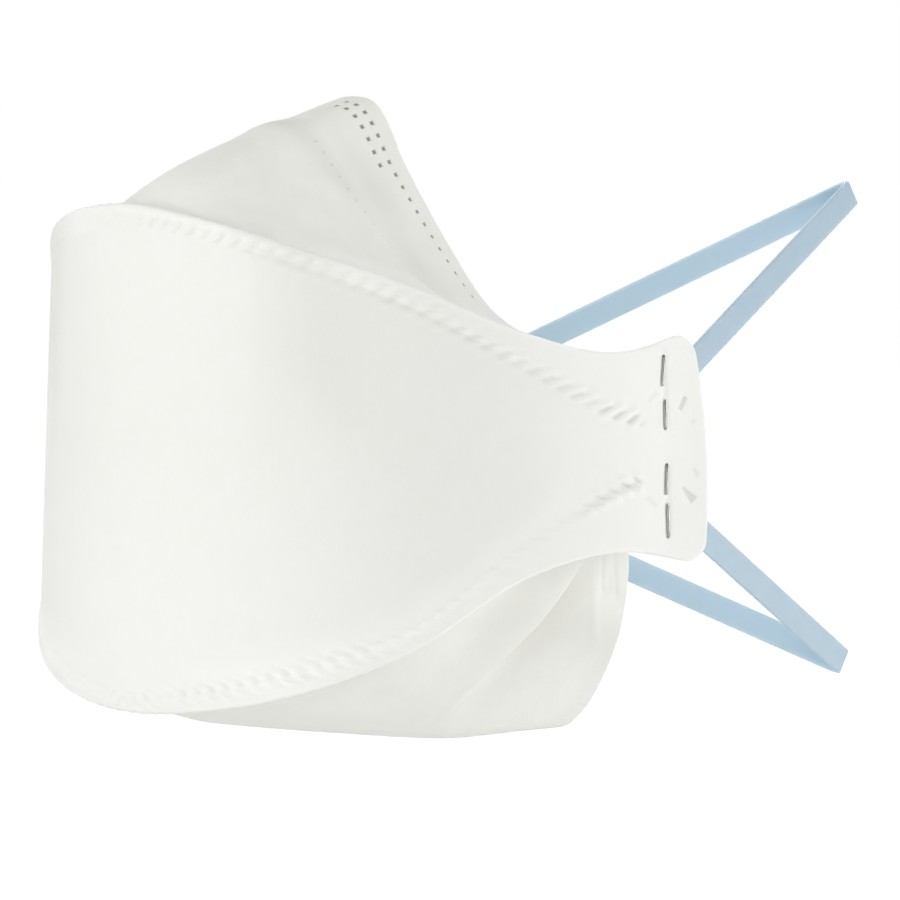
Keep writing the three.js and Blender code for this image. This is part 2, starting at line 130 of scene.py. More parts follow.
# Matt white floor paint. It glows more with distance, as the far end of a lit studio floor does.
paint, tree = new_material("white_floor_paint")
place = add_node(tree, "TexCoord")
level_place = add_node(tree, "VectorMath", {0: place.outputs["Object"], 1: (1, 1, 0)}, operation="MULTIPLY")
distance = add_node(tree, "VectorMath", {0: level_place}, operation="LENGTH")
glow = add_node(
    tree,
    "MapRange",
    {"Value": distance.outputs["Value"], "From Min": FLOOR_NEAR, "From Max": FLOOR_FAR, "To Max": FLOOR_GLOW},
    interpolation_type="SMOOTHSTEP",
)
shader = add_node(
    tree,
    "BsdfPrincipled",
    {
        "Base Color": linear("#f0f0ee"),
        "Roughness": 0.9,
        "Emission Color": linear("#ffffff"),
        "Emission Strength": glow,
    },
)
finish_material(tree, shader)
floor.data.materials.append(paint)

bpy.ops.mesh.primitive_uv_sphere_add(
    segments=64, ring_count=32, radius=BACKDROP_RADIUS, location=(0, 0, FLOOR_HEIGHT)
)
backdrop = bpy.context.object
backdrop.name = "backdrop"
bpy.ops.object.transform_apply(location=True)
backdrop.visible_diffuse = backdrop.visible_glossy = backdrop.visible_transmission = False
backdrop.visible_shadow = False
# Matt white paper, evenly lit: white low down, and a pale grey above, against which a white mask shows.
paper, tree = new_material("white_backdrop_paper")
place = add_node(tree, "TexCoord")
up = add_node(tree, "SeparateXYZ", {0: place.outputs["Object"]})
low, high = (FLOOR_HEIGHT + rise for rise in BACKDROP_GRADE)
glow = add_node(
    tree,
    "MapRange",
    {"Value": up.outputs["Z"], "From Min": low, "From Max": high, "To Min": FLOOR_GLOW, "To Max": BACKDROP_GLOW},
    interpolation_type="SMOOTHSTEP",
)
finish_material(tree, add_node(tree, "Emission", {"Color": linear("#ffffff"), "Strength": glow}))
backdrop.data.materials.append(paper)

world = bpy.data.worlds.new("studio")
world.use_nodes = True
world.node_tree.nodes["Background"].inputs["Color"].default_value = linear("#ffffff")
world.node_tree.nodes["Background"].inputs["Strength"].default_value = WORLD_STRENGTH
bpy.context.scene.world = world

for name, azimuth, elevation, power in SOFT_LIGHTS:
    away = direction(math.radians(azimuth), math.radians(elevation))
    bpy.ops.object.light_add(type="AREA", location=away * LIGHT_DISTANCE, rotation=facing(away))
    light = bpy.context.object
    light.name = name
    light.data.size = LIGHT_SIZE
    light.data.energy = power

# ---------------------------------------------------------------- Front panel
# One cut of white polypropylene filter laminate, bent round the face, with an ear tab at each end. Its top and
# bottom edges are folded lips. A wheel has pressed a row of slanting hot welds along each of them, which sink in
# and leave soft pillows between.

WALL = 1.6
HALF_WALL = WALL / 2
GAP = 0.3  # between two pieces that are held together
FRONT_RADIUS = 63
BEND_LENGTH = math.pi / 2 * FRONT_RADIUS
TAB_RADIUS = 63  # past the bend, a tab curves the other way
HALF_LENGTH = 110
TAPER = 0.0006  # how much narrower the mask gets for each millimetre up
TAB_HALF_HEIGHT = 20
TAB_CORNER = 4.5
TAB_END = {"reach": 0.7, "lean": -0.78, "bow": 1.8}  # how far its edge stands out, leans and falls back
FRONT_CUT = {
    "along": (0, 18, 36, 54, 72, 90, 110),
    "top_lip": (40.7, 38.5, 34.0, 28.2, 20.9, 16.5, 19.3),
    "top_weld": (38.2, 36.0, 31.4, 24.8, 15.5, 6.3, 2.3),
    "bottom_weld": (-42.5, -39.9, -35.1, -28.5, -15.6, -6.5, -2.9),
    "bottom_lip": (-45.4, -43.8, -39.7, -32.4, -21.3, -17.3, -20.7),
}
LIP_PUFF = {"height": 0.35, "longer": 1.3, "power": 0.8, "fade": 20}  # the lips' folds are not pressed flat
FAR_LIP = {"lift": 1.9, "span": (-12, 42, 50, 85)}  # the top lip stands higher on the wearer's right
WELD_SLANT = 1.0  # how far a weld leans along the seam, for its height
WELD_HALF_WIDTH = 0.45
WELD_SHARE = 0.2  # half a weld's width, as a share of the pitch
WELD_DEPTH = 0.32
WELD_GROOVE = {"depth": 0.12, "half_width": 1.3}  # the whole line sinks
WELD_UNEVEN = {"by": 0.3, "turns": (1.9, 0.7)}  # no two welds are pressed alike
WELD_END = (95.0, 97.0)  # distances from the nose line between which the rows run out
WELD_EDGE = (0.6, 1.2)  # a weld's colour fades between these shares of its half width and length
LIP_PILLOW, BODY_PILLOW = (1.15, 0.95), (-1.1, 0.8)  # how far past the welds, and half the width
BODY_PILLOW_SHARE = 0.5
PILLOW_LEAST = 0.1  # what is left of a pillow between welds that aren't pressed
PILLOW_FULL = 0.4  # the force that makes a full one
RELIEF_REACH = 5  # how far a seam's relief runs on into the body
SCALLOP = 0.1  # the lip's edge is drawn in beside each weld
SCALLOP_END = (70, 84)
# Painted shade: the body is painted a little greyer than the lips, and less so towards the tabs and low down, to stand
# for the shade it lies in. These values say how much and where.
BODY_SHADE = 0.56
SHADE_END = (55, 92)  # distances from the nose line between which the painted shade fades out
SHADE_NOSE = (6, 34)  # and between which it stops reaching right up to its seams
LIGHTER_LOW = {"by": 0.3, "depths": (-5, 30)}  # the painted shade is lighter low down, where more light falls from below
SHADED_LIP = ((0.65, 30, 13), (0.5, 55, 15))  # on the top lip: how much, where along it, and over what length
SHADED_BODY = {"by": 0.42, "along": (38, 9), "below": (14, 30)}  # and on the body below that lip
# Each seam's weld line. first: how far the row is shifted from the nose line. stretched: where the laminate was drawn
# out round the bend, and by how much. seam_shade: how far into the body its painted shade rises. pressed: how hard
# the wheel pressed, from the wearer's right to the left.
SEAMS = [
    {
        "weld": "top_weld",
        "lip": "top_lip",
        "up": 1,
        "pitch": 3.03,
        "half_length": 0.95,
        "pillow": 0.38,
        "first": 0.0,
        "stretched": (20, 48, 2.0),
        "seam_shade": (-0.5, 1.5),
        "pressed": {
            "along": (-62, -48, -2, 4, 22, 48, 66, 80, 97),
            "force": (0.8, 0.0, 0.05, 0.3, 0.6, 0.45, 0.5, 0.45, 0.9),
        },
    },
    {
        "weld": "bottom_weld",
        "lip": "bottom_lip",
        "up": -1,
        "pitch": 2.78,
        "half_length": 0.75,
        "pillow": 0.8,
        "first": 0.5,
        "stretched": (45, 60, 0.5),
        "seam_shade": (-0.5, 6.0),
        "pressed": {
            "along": (-62, -48, -8, 4, 24, 60, 82, 97),
            "force": (0.0, 0.0, 0.05, 0.2, 0.35, 0.12, 0.12, 0.8),
        },
    },
]
# Welds beside the staples, left by the wheel as it ran off the tab. Each has its place along and up the tab, half its
# length and width, how much it widens, its slant (height for length), and how hard it is pressed.
TAB_WELDS = [
    (98.6, 8.5, 1.3, 0.4, 0.0, 0.8, 0.3),
    (105.45, 7.1, 1.25, 0.4, 0.0, 1.6, 1.0),
    (107.2, 3.9, 0.5, 0.35, 0.0, 1.0, 0.3),
    (97.9, -9.1, 1.4, 0.4, 0.0, -0.85, 0.3),
    (105.8, -8.3, 1.6, 0.45, 0.18, -1.1, 1.0),
    (107.3, -4.8, 0.8, 0.4, 0.0, -1.5, 0.4),
]
TAB_WELD_DEPTH = 0.3
TAB_WELD_DENT = 0.2  # how far its dent reaches past it
TAB_WELD_EDGE = (-0.1, 0.2)  # its colour fades between these distances past its outline
STAPLE_ALONG = 101.5
STAPLE_HEIGHT = 9.2
STAPLE_CROWN = 12.7
STAPLE_DENT = 0.22  # how far the laminate sinks under a staple
STAPLE_BED = 0.6  # half the dent's width, and how far it reaches past the staple
FACE_COLUMNS = 250  # each side of the nose line, before the tab's corners
CORNER_COLUMNS = 16
EDGE_ROWS = 6
# Rows lie close beside the welds, over this width, or over this share of the cloth where that is less.
LIP_ROWS = {"close": 6, "rest": 15, "width": 1.92, "share": 0.8}
BODY_ROWS = {"close": 10, "rest": 16, "width": 3.2, "share": 0.4}
INNER_FACE = 100  # added to distances there, so that no weld is drawn on it


def through(places, values, at):
    """The smooth curve through a table's column, level at its first row."""
    places, values = np.array(places, float), np.array(values, float)
    slope = np.zeros(len(places))
    slope[1:-1] = (values[2:] - values[:-2]) / (places[2:] - places[:-2])
    slope[-1] = (values[-1] - values[-2]) / (places[-1] - places[-2])
    i = np.clip(np.searchsorted(places, at) - 1, 0, len(places) - 2)
    step = places[i + 1] - places[i]
    t = np.clip((at - places[i]) / step, 0, 1)
    pull = t * (1 - t) ** 2 * slope[i] + t * t * (t - 1) * slope[i + 1]
    return values[i] + (values[i + 1] - values[i]) * t * t * (3 - 2 * t) + step * pull


def smooth(value, low, high):
    """Rises from 0 to 1 as a value goes from low to high, level at both."""
    t = np.clip((value - low) / (high - low), 0, 1)
    return t * t * (3 - 2 * t)


def span(value, start, full, falling, end):
    """Rises from 0 to 1 between two values, and falls back to 0 between two more."""
    return smooth(value, start, full) * (1 - smooth(value, falling, end))


def swell(value, at, half_width):
    """A smooth swelling of height 1, centred on at."""
    return np.exp(-(((value - at) / half_width) ** 2))


def plan_direction(angle):
    """The level direction at an angle from straight ahead: its x and y."""
    return np.sin(angle), -np.cos(angle)


def face_plan(along):
    """The front panel's outer face seen from above: x, y, and the direction that faces outwards."""
    side = np.where(along < 0, -1.0, 1.0)
    s = np.abs(along)
    bend = np.minimum(s, BEND_LENGTH) / FRONT_RADIUS
    turn = bend - np.maximum(0, s - BEND_LENGTH) / TAB_RADIUS
    (bend_x, bend_y), (out_x, out_y) = plan_direction(bend), plan_direction(turn)
    reach = FRONT_RADIUS + TAB_RADIUS
    return side * (bend_x * reach - out_x * TAB_RADIUS), bend_y * reach - out_y * TAB_RADIUS, side * out_x, out_y


STAPLE_LINE = face_plan(STAPLE_ALONG)[1]


def face_point(along, height, out):
    """Points of the front panel: round the face, up it, and out from it. Millimetres."""
    near_end = smooth(np.abs(along), BEND_LENGTH, HALF_LENGTH)
    up = height / TAB_HALF_HEIGHT
    fall_back = near_end * (TAB_END["bow"] * up**2 - TAB_END["lean"] * up - TAB_END["reach"])
    x, y, out_x, out_y = face_plan(along - np.sign(along) * fall_back)
    widen = 1 - TAPER * height
    return np.stack([x * widen + out_x * out, y * widen + out_y * out - STAPLE_LINE, height + 0 * x], -1)


def front_cut(name, along):
    """The height of one of the front panel's lines."""
    return through(FRONT_CUT["along"], FRONT_CUT[name], np.abs(along))


def edge_steps(radius, count):
    """Distances from an edge, crowded towards it as the points of a rounded edge are."""
    return radius * (1 - np.cos(np.linspace(0, math.pi / 2, count)))


def roundness(distance, radius):
    """How much of its full thickness a wall has at a distance from its rounded edge."""
    return np.sqrt(1 - (1 - np.clip(distance / radius, 0, 1)) ** 2)


def lip_steps(width):
    """Distances of a lip's rows from its weld line, out to its edge."""
    flat = width - HALF_WALL
    close = np.minimum(LIP_ROWS["width"], LIP_ROWS["share"] * flat)
    near = close[:, None] * np.linspace(0, 1, LIP_ROWS["close"] + 1)[None, 1:]
    rest = close[:, None] + (flat - close)[:, None] * np.linspace(0, 1, LIP_ROWS["rest"] + 1)[None, 1:]
    edge = width[:, None] - edge_steps(HALF_WALL, EDGE_ROWS)[None, ::-1]
    return np.concatenate([near, rest, edge[:, 1:]], 1)


def weld_cells(seam, along_seam, from_weld):
    """Counts the welds along a seam. A weld's middle is halfway between two whole numbers."""
    start, end, by = seam["stretched"]
    s = np.abs(along_seam) - by * smooth(np.abs(along_seam), start, end)
    return (s - WELD_SLANT * from_weld) / seam["pitch"] - seam["first"]


def seam_relief(seam, along, along_seam, from_weld, lip_width):
    """How far the outer face stands out beside a weld line, and how strongly it is welded there."""
    places, forces = seam["pressed"]["along"], seam["pressed"]["force"]
    force = np.where(along < places[0], np.interp(-along, places, forces), np.interp(along, places, forces))
    force = force * (1 - smooth(np.abs(along), *WELD_END))
    cell = weld_cells(seam, along_seam, from_weld)
    number = np.floor(cell)
    first, second = WELD_UNEVEN["turns"]
    uneven = 1 + WELD_UNEVEN["by"] * np.sin(first * number) * np.sin(second * number)
    off = (cell - number - 0.5) * seam["pitch"] / math.hypot(1, WELD_SLANT)
    weld = force * uneven * np.exp(-((from_weld / seam["half_length"]) ** 4)) * swell(off, 0, WELD_HALF_WIDTH)
    up_lip = np.minimum(1, np.clip(from_weld / lip_width, 0, 1) * LIP_PUFF["longer"]) / LIP_PUFF["longer"]
    near_nose = 1 - smooth(np.abs(along), BEND_LENGTH - LIP_PUFF["fade"], BEND_LENGTH)
    puff = LIP_PUFF["height"] * near_nose * np.sin(math.pi * up_lip) ** LIP_PUFF["power"] * (from_weld > 0)
    between = 0.5 + 0.5 * np.cos(2 * math.pi * cell)
    pillow = swell(from_weld, *LIP_PILLOW) + BODY_PILLOW_SHARE * swell(from_weld, *BODY_PILLOW)
    pillow *= PILLOW_LEAST + (1 - PILLOW_LEAST) * np.minimum(1, force / PILLOW_FULL)
    pillow *= seam["pillow"] * between * uneven * (1 - smooth(np.abs(along), *WELD_END))
    groove = WELD_GROOVE["depth"] * swell(from_weld, 0, WELD_GROOVE["half_width"]) * force
    return puff + pillow - groove - WELD_DEPTH * weld, force * uneven


def tab_relief(along, height):
    """The laminate's dents on an ear tab: the stray welds, and the beds of the staples."""
    s = np.abs(along)
    sunk = np.zeros_like(s)
    for weld_along, weld_height, half_length, half_width, _, slant, press in TAB_WELDS:
        x, z, length = s - weld_along, height - weld_height, math.hypot(1, slant)
        run, off = (x + slant * z) / length, (slant * x - z) / length
        dent = np.exp(-((run / (half_length + TAB_WELD_DENT)) ** 4)) * swell(off, 0, half_width + TAB_WELD_DENT)
        sunk -= TAB_WELD_DEPTH * press * dent
    for middle in (STAPLE_HEIGHT, -STAPLE_HEIGHT):
        bed = np.exp(-(((height - middle) / (STAPLE_CROWN / 2 + STAPLE_BED)) ** 6))
        sunk -= STAPLE_DENT * bed * swell(s, STAPLE_ALONG, STAPLE_BED)
    return sunk


def wall_mesh(name, outer, inner):
    """A closed wall of cloth from two grids of points in millimetres, which share the points of their border."""
    columns, rows = outer.shape[:2]
    outer_at = np.arange(columns * rows).reshape(columns, rows)
    inner_at = outer_at.copy()
    inner_at[1:-1, 1:-1] = columns * rows + np.arange((columns - 2) * (rows - 2)).reshape(columns - 2, rows - 2)
    points = np.concatenate([outer.reshape(-1, 3), inner[1:-1, 1:-1].reshape(-1, 3)]) * MM

    def quads(at):
        return np.stack([at[:-1, :-1], at[1:, :-1], at[1:, 1:], at[:-1, 1:]], -1).reshape(-1, 4)

    mesh = bpy.data.meshes.new(name)
    mesh.from_pydata(points.tolist(), [], np.concatenate([quads(outer_at), quads(inner_at)[:, ::-1]]).tolist())
    piece = bpy.data.objects.new(name, mesh)
    bpy.context.collection.objects.link(piece)
    mesh.shade_smooth()
    return piece


def keep_on_mesh(piece, **kept):
    """Stores values for the points of a wall's outer and inner face, as attributes that its material reads."""
    for name, (outer, inner) in kept.items():
        values = np.concatenate([outer.ravel(), inner[1:-1, 1:-1].ravel()]).astype(np.float32)
        piece.data.attributes.new(name, "FLOAT", "POINT").data.foreach_set("value", values)


corner = HALF_LENGTH - TAB_CORNER
half = np.linspace(0, corner, FACE_COLUMNS + 1)
bend_in = corner + TAB_CORNER * np.sin(np.linspace(0, math.pi / 2, CORNER_COLUMNS + 1))[1:]
half = np.concatenate([half, bend_in])
columns = np.concatenate([-half[:0:-1], half])
into_corner = np.maximum(0, np.abs(columns) - corner)
corner_drop = TAB_CORNER - np.sqrt(np.maximum(0, TAB_CORNER**2 - into_corner**2))
for seam in SEAMS:
    seam["line"] = front_cut(seam["weld"], columns)
    steps = np.hypot(np.diff(columns), np.diff(seam["line"]))
    arc = np.concatenate([[0], np.cumsum(steps)])
    seam["arc"] = arc - arc[len(columns) // 2]
    seam["width"] = (front_cut(seam["lip"], columns) - seam["line"]) * seam["up"] - corner_drop
    scallop = 0.5 - 0.5 * np.cos(2 * math.pi * weld_cells(seam, seam["arc"], seam["width"]))
    seam["width"] -= SCALLOP * scallop * (1 - smooth(np.abs(columns), *SCALLOP_END))
    if seam["up"] > 0:
        seam["width"] += FAR_LIP["lift"] * span(-columns, *FAR_LIP["span"])
top_weld, bottom_weld = SEAMS[0]["line"], SEAMS[1]["line"]
top_width, bottom_width = SEAMS[0]["width"], SEAMS[1]["width"]
between = (top_weld - bottom_weld)[:, None]
close = np.minimum(BODY_ROWS["width"], BODY_ROWS["share"] * between)
close_steps = np.linspace(0, 1, BODY_ROWS["close"] + 1)[None]
rest_steps = np.linspace(0, 1, BODY_ROWS["rest"] + 1)[None, :-1]
inside = [
    close * close_steps[:, :-1],
    close + (between - 2 * close) * rest_steps,
    between - close + close * close_steps,
]
height = np.concatenate(
    [
        bottom_weld[:, None] - lip_steps(bottom_width)[:, ::-1],
        bottom_weld[:, None] + np.concatenate(inside, 1),
        top_weld[:, None] + lip_steps(top_width),
    ],
    1,
)
along = np.repeat(columns[:, None], height.shape[1], 1)
relief = tab_relief(along, height)
weld_cell, weld_away, weld_force, tint = (0 * along for _ in range(4))
top_half = height > (top_weld + bottom_weld)[:, None] / 2
for seam in SEAMS:
    lean = np.gradient(seam["line"], columns)[:, None]
    steep = np.sqrt(1 + lean**2)
    from_weld = (height - seam["line"][:, None]) * seam["up"] / steep
    along_seam = seam["arc"][:, None] + (height - seam["line"][:, None]) * lean / steep
    stand, force = seam_relief(seam, along, along_seam, from_weld, seam["width"][:, None])
    relief += stand * swell(np.maximum(0, -from_weld), 0, RELIEF_REACH)
    own = top_half if seam["up"] > 0 else ~top_half
    weld_cell[own] = weld_cells(seam, along_seam, from_weld)[own]
    weld_away[own] = (from_weld / seam["half_length"])[own]
    weld_force[own] = force[own]
    # Painted shade on the body and on the top lip: greyer where they lie in shade.
    seam_shade = smooth(-from_weld, *seam["seam_shade"]) * (1 - smooth(np.abs(along), *SHADE_END))
    seam_shade = np.maximum(seam_shade, 1 - smooth(np.abs(along), *SHADE_NOSE))
    seam_shade *= BODY_SHADE * (1 - LIGHTER_LOW["by"] * smooth(-height, *LIGHTER_LOW["depths"]))
    if seam["up"] > 0:
        for share, *where in SHADED_LIP:
            seam_shade = np.maximum(seam_shade, share * swell(np.abs(along), *where))
        below = 1 - smooth(-from_weld, *SHADED_BODY["below"])
        seam_shade += SHADED_BODY["by"] * swell(np.abs(along), *SHADED_BODY["along"]) * below
    tint[own] = seam_shade[own]
to_lip = np.minimum(height - height[:, :1], height[:, -1:] - height)
thick = roundness(to_lip, HALF_WALL) * roundness(HALF_LENGTH - np.abs(along), HALF_WALL)
outer = face_point(along, height, thick * HALF_WALL - HALF_WALL + relief * thick)
inner = face_point(along, height, -thick * HALF_WALL - HALF_WALL)
front_panel = wall_mesh("front_panel_cloth", outer, inner)
keep_on_mesh(
    front_panel,
    weld_cell=(weld_cell, weld_cell),
    weld_away=(weld_away, weld_away + INNER_FACE),
    weld_force=(weld_force, 0 * weld_force),
    tint=(tint, 0 * tint),
    face_along=(np.abs(along), 0 * along),
    face_height=(height, height),
)

# Spunbond polypropylene over filter web: matt and almost white, of fine fibres laid down at random. The heat of
# the welds melts the fibres together, so a weld is a little greyer than the cloth.
FIBRE = 0.25  # mm, drawn several times as coarse as a real 0.03 mm fibre, so that it shows
CLOUD = 6  # mm, the size of thicker and thinner patches in the web


def nonwoven(name, colour, cloud_colour, cloudiness, shade_colour, weld_colour, weld_mask):
    """A fibre web with cloudy patches, and painted shade: greyer where its tint attribute says so. weld_mask(tree)
    gives the node that is 1 where the web is welded."""
    material, tree = new_material(name)
    place = add_node(tree, "TexCoord").outputs["Object"]
    clouds = add_node(tree, "TexNoise", {"Vector": place, "Scale": 1 / (CLOUD * MM), "Detail": 3, "Roughness": 0.6})
    patch = add_node(tree, "MapRange", {"Value": clouds, "From Min": 0.35, "From Max": 0.7})
    share = add_node(tree, "Math", {0: patch, 1: cloudiness}, operation="MULTIPLY")
    web = add_node(tree, "Mix", {0: share, 6: linear(colour), 7: linear(cloud_colour)}, data_type="RGBA")
    # Painted shade: the web is mixed towards a greyer colour where shade is painted on it.
    shade_share = add_node(tree, "Attribute", attribute_name="tint").outputs["Fac"]
    web = add_node(tree, "Mix", {0: shade_share, 6: web.outputs[2], 7: linear(shade_colour)}, data_type="RGBA")
    web = add_node(tree, "Mix", {0: weld_mask(tree), 6: web.outputs[2], 7: linear(weld_colour)}, data_type="RGBA")
    stretch = add_node(tree, "Mapping", {"Vector": place, "Scale": (1, 1, 0.35)})
    fibres = add_node(
        tree,
        "TexNoise",
        {"Vector": stretch, "Scale": 1 / (2 * FIBRE * MM), "Detail": 4, "Roughness": 0.65, "Distortion": 1.2},
    )
    bump = add_node(tree, "Bump", {"Height": fibres, "Strength": 0.35, "Distance": 0.15 * MM})
    shader = add_node(
        tree,
        "BsdfPrincipled",
        {
            "Base Color": web.outputs[2],
            "Roughness": 0.85,
            "Normal": bump,
            "IOR": 1.49,
            "Specular IOR Level": 0.25,
            "Sheen Weight": 0.08,
            "Sheen Roughness": 0.5,
        },
    )
    finish_material(tree, shader)
    return material


def front_welds(tree):
    """The slanting welds of the two seams and the stray welds of the tabs, drawn from their sizes."""
    cell, away, force, along, height = (
        add_node(tree, "Attribute", attribute_name=name).outputs["Fac"]
        for name in ("weld_cell", "weld_away", "weld_force", "face_along", "face_height")
    )
    across = add_node(tree, "Math", {0: cell, 1: 0.5}, operation="ADD")
    across = add_node(tree, "Math", {0: across, 1: 0.5}, operation="PINGPONG")
    across = add_node(tree, "Math", {0: across, 1: 1 / WELD_SHARE}, operation="MULTIPLY")
    away = add_node(tree, "Math", {0: away}, operation="ABSOLUTE")
    box = add_node(tree, "Math", {0: across, 1: away}, operation="MAXIMUM")
    edge = {"From Min": WELD_EDGE[0], "From Max": WELD_EDGE[1], "To Min": force, "To Max": 0}
    total = add_node(tree, "MapRange", {"Value": box, **edge}, interpolation_type="SMOOTHSTEP")
    face = add_node(tree, "CombineXYZ", {"X": along, "Y": height})
    for weld_along, weld_height, half_length, half_width, widens, slant, press in TAB_WELDS:
        # Counted from the weld's middle, x runs along the weld and y across it.
        middle = {"Location": (weld_along, weld_height, 0), "Rotation": (0, 0, math.atan(slant))}
        place = add_node(tree, "Mapping", {"Vector": face, **middle}, vector_type="TEXTURE")
        run = add_node(tree, "SeparateXYZ", {0: place})
        past = add_node(tree, "VectorMath", {0: place}, operation="ABSOLUTE")
        past = add_node(tree, "VectorMath", {0: past, 1: (half_length, half_width, 0)}, operation="SUBTRACT")
        past = add_node(tree, "SeparateXYZ", {0: past})
        past_side = add_node(
            tree, "Math", {0: run.outputs["X"], 1: -widens, 2: past.outputs["Y"]}, operation="MULTIPLY_ADD"
        )
        past = add_node(tree, "Math", {0: past.outputs["X"], 1: past_side}, operation="MAXIMUM")
        edge = {"From Min": TAB_WELD_EDGE[0], "From Max": TAB_WELD_EDGE[1], "To Min": press, "To Max": 0}
        weld = add_node(tree, "MapRange", {"Value": past, **edge}, interpolation_type="SMOOTHSTEP")
        total = add_node(tree, "Math", {0: total, 1: weld}, operation="ADD")
    return add_node(tree, "Math", {0: total, 1: 1.0}, operation="MINIMUM")


front_panel.data.materials.append(
    nonwoven(
        "spunbond_polypropylene",
        colour="#fbfbf8",
        cloud_colour="#f6f6f1",
        cloudiness=0.3,
        # the colour of the painted shade on the body
        shade_colour="#ebebe6",
        weld_colour="#e6e6e1",
        weld_mask=front_welds,
    )
)
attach(front_panel, "root")
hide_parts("front_panel")

# ---------------------------------------------------------------- Nose panel
# A thinner cut of the same web, off-white, welded behind the front panel's top edge. It rises over the nose and
# comes back to a folded rim. Square hot welds close the rim's fold, in two rows over the nose and one beside it.

SOFT_WALL = 1.4
SEAM_END = 92
SEAM_TUCK = 0.6  # how far a soft panel's edge lies past the weld line, behind the front panel
SOFT_COLUMNS = 195  # each side of the nose line
ROUND_END = 0.008  # share of half its length over which a soft panel's end is rounded off
ROUND_EDGE = 0.013  # and share of its height, for its other edges
NOSE_RIM = {
    "share": (0.0, 0.06, 0.12, 0.22, 0.34, 0.44, 0.55, 0.63, 0.7, 0.82, 0.92, 1.0),
    "x": (0.0, 4.8, 8.4, 12.3, 18.2, 22.8, 28.3, 32.5, 37.5, 45.9, 52.6, 57.0),
    "y": (-13.5, -13.5, -13.5, -13.3, -12.7, -11.9, -10.6, -9.6, -8.0, -7.0, -6.8, -7.2),
    "z": (58.1, 57.3, 53.8, 47.0, 38.7, 32.2, 24.7, 20.8, 17.9, 15.0, 12.4, 10.2),
}
NOSE_RISE = {"height": 6, "start": 0.1, "power": 1.5, "spread": 0.45}
NOSE_VALLEY = {"at": 0.76, "bends": (0.24, 0.52), "by": -0.13, "half_width": 0.1, "depth": 0.7}
VALLEY_OVER_NOSE = {"share": 0.3, "full": (0.0, 0.25)}  # it is shallower there
NOSE_RIDGE = {"at": -0.15, "half_width": 0.08, "height": 0.6}
FOLD_END = (0.55, 0.75)  # where both run out, from the nose line to the tab
NOSE_LEAN = {"full": (0.0, 0.2), "across": 0.75, "up": 0.35}  # beside the nose they stand out sideways
NOSE_STEPS = {"body": 55, "crowding": 1.15, "rim": 24, "rim_from": 0.84}
# Painted shade: over the nose, along the valley, and under the rim's fold, but not beside the lip.
NOSE_SHADE = {"by": 0.3, "end": (0.5, 0.64)}
VALLEY_SHADE = ((0.4, 0.25, 0.1), (0.3, 0.46, 0.09))  # how much, where along the valley, and over what length
FOLD_SHADE = {"by": 0.35, "where": (0.62, 0.05), "end": (0.22, 0.34)}
BESIDE_LIP = {"slant": 1.6, "from": 0.3, "up": (0.1, 0.25), "along": (0.26, 0.36)}
RIM_WELD_PITCH = 2.62
RIM_ROWS = [
    # how far a row lies from the rim, where it runs along the rim on the wearer's left and right, half the width of
    # its welds, and how hard they are pressed
    {"from_rim": 3.7, "left": (0.3, 48), "right": (18, 48), "half": 0.43, "press": 0.95},
    {"from_rim": 6.1, "left": (0.3, 18.3), "right": (14, 18.3), "half": 0.43, "press": 0.95},
    {"from_rim": 17.7, "left": (9, 33.5), "right": (12, 33.5), "half": 0.28, "press": 0.3},
]
RIM_WELD_TAPER = 0.0035  # how much less half a weld measures, for each millimetre along the rim
RIM_WELD_EDGE = 0.15  # a weld's colour fades over this distance on each side of its outline
RIM_WELD_DENT = 0.3  # and its dent reaches this far past it
RIM_WELD_DEPTH = 0.5


def valley_place(s, v):
    """A place from seam to rim, counted from the middle of the valley beside the rim's fold."""
    return v - NOSE_VALLEY["at"] - NOSE_VALLEY["by"] * smooth(s, *NOSE_VALLEY["bends"])


def nose_shape(share, v):
    """How the nose panel stands off the straight line from seam to rim."""
    s = np.abs(share)
    rise = NOSE_RISE["height"] * (1 - v ** NOSE_RISE["power"]) * (1 - np.exp(-v / NOSE_RISE["start"]))
    rise *= 1 - smooth(s, 0, NOSE_RISE["spread"])
    w = valley_place(s, v)
    ridge = NOSE_RIDGE["height"] * swell(w, NOSE_RIDGE["at"], NOSE_RIDGE["half_width"])
    least = VALLEY_OVER_NOSE["share"]
    valley = NOSE_VALLEY["depth"] * swell(w, 0, NOSE_VALLEY["half_width"])
    valley *= least + (1 - least) * smooth(s, *VALLEY_OVER_NOSE["full"])
    out = (ridge - valley) * (1 - smooth(s, *FOLD_END))
    lean = smooth(s, *NOSE_LEAN["full"])
    across = np.sign(share) * out * NOSE_LEAN["across"] * lean
    return np.stack([across, 0 * s, rise + out * (1 - NOSE_LEAN["up"] * lean)], -1)


def rim_point(rim, share):
    """Points of a free rim. It crosses the nose line at full slope, not level."""
    s = np.abs(share)
    first = rim["share"][1]
    places = np.concatenate([[0], np.array(rim["share"]) + first])
    across = through(places, np.concatenate([[-rim["x"][1]], rim["x"]]), s + first)
    return np.stack([np.sign(share) * across, *[through(rim["share"], rim[axis], s) for axis in "yz"]], -1)


def soft_face(weld_name, tuck, rim, rows):
    """A soft panel's straight lines from its seam, behind the front panel, to its free rim, and how far they rise."""
    share = np.linspace(-1, 1, 2 * SOFT_COLUMNS + 1)
    edge = edge_steps(ROUND_END, 5)[:-1]
    share = np.concatenate([edge - 1, share[2:-2], 1 - edge[::-1]])
    along = share * SEAM_END
    seam = face_point(along, front_cut(weld_name, along) + tuck, -(WALL + GAP))
    to_rim = (rim_point(rim, share) - seam)[:, None]
    share, v = np.meshgrid(share, rows, indexing="ij")
    return share, v, seam[:, None] + to_rim * v[..., None], to_rim[..., 2]


def grid_normals(grid, share, v):
    """Unit normals of a panel's face, from its slopes along and across."""
    across = np.cross(np.gradient(grid, share[:, 0], axis=0), np.gradient(grid, v[0], axis=1))
    return across / np.linalg.norm(across, axis=-1, keepdims=True)


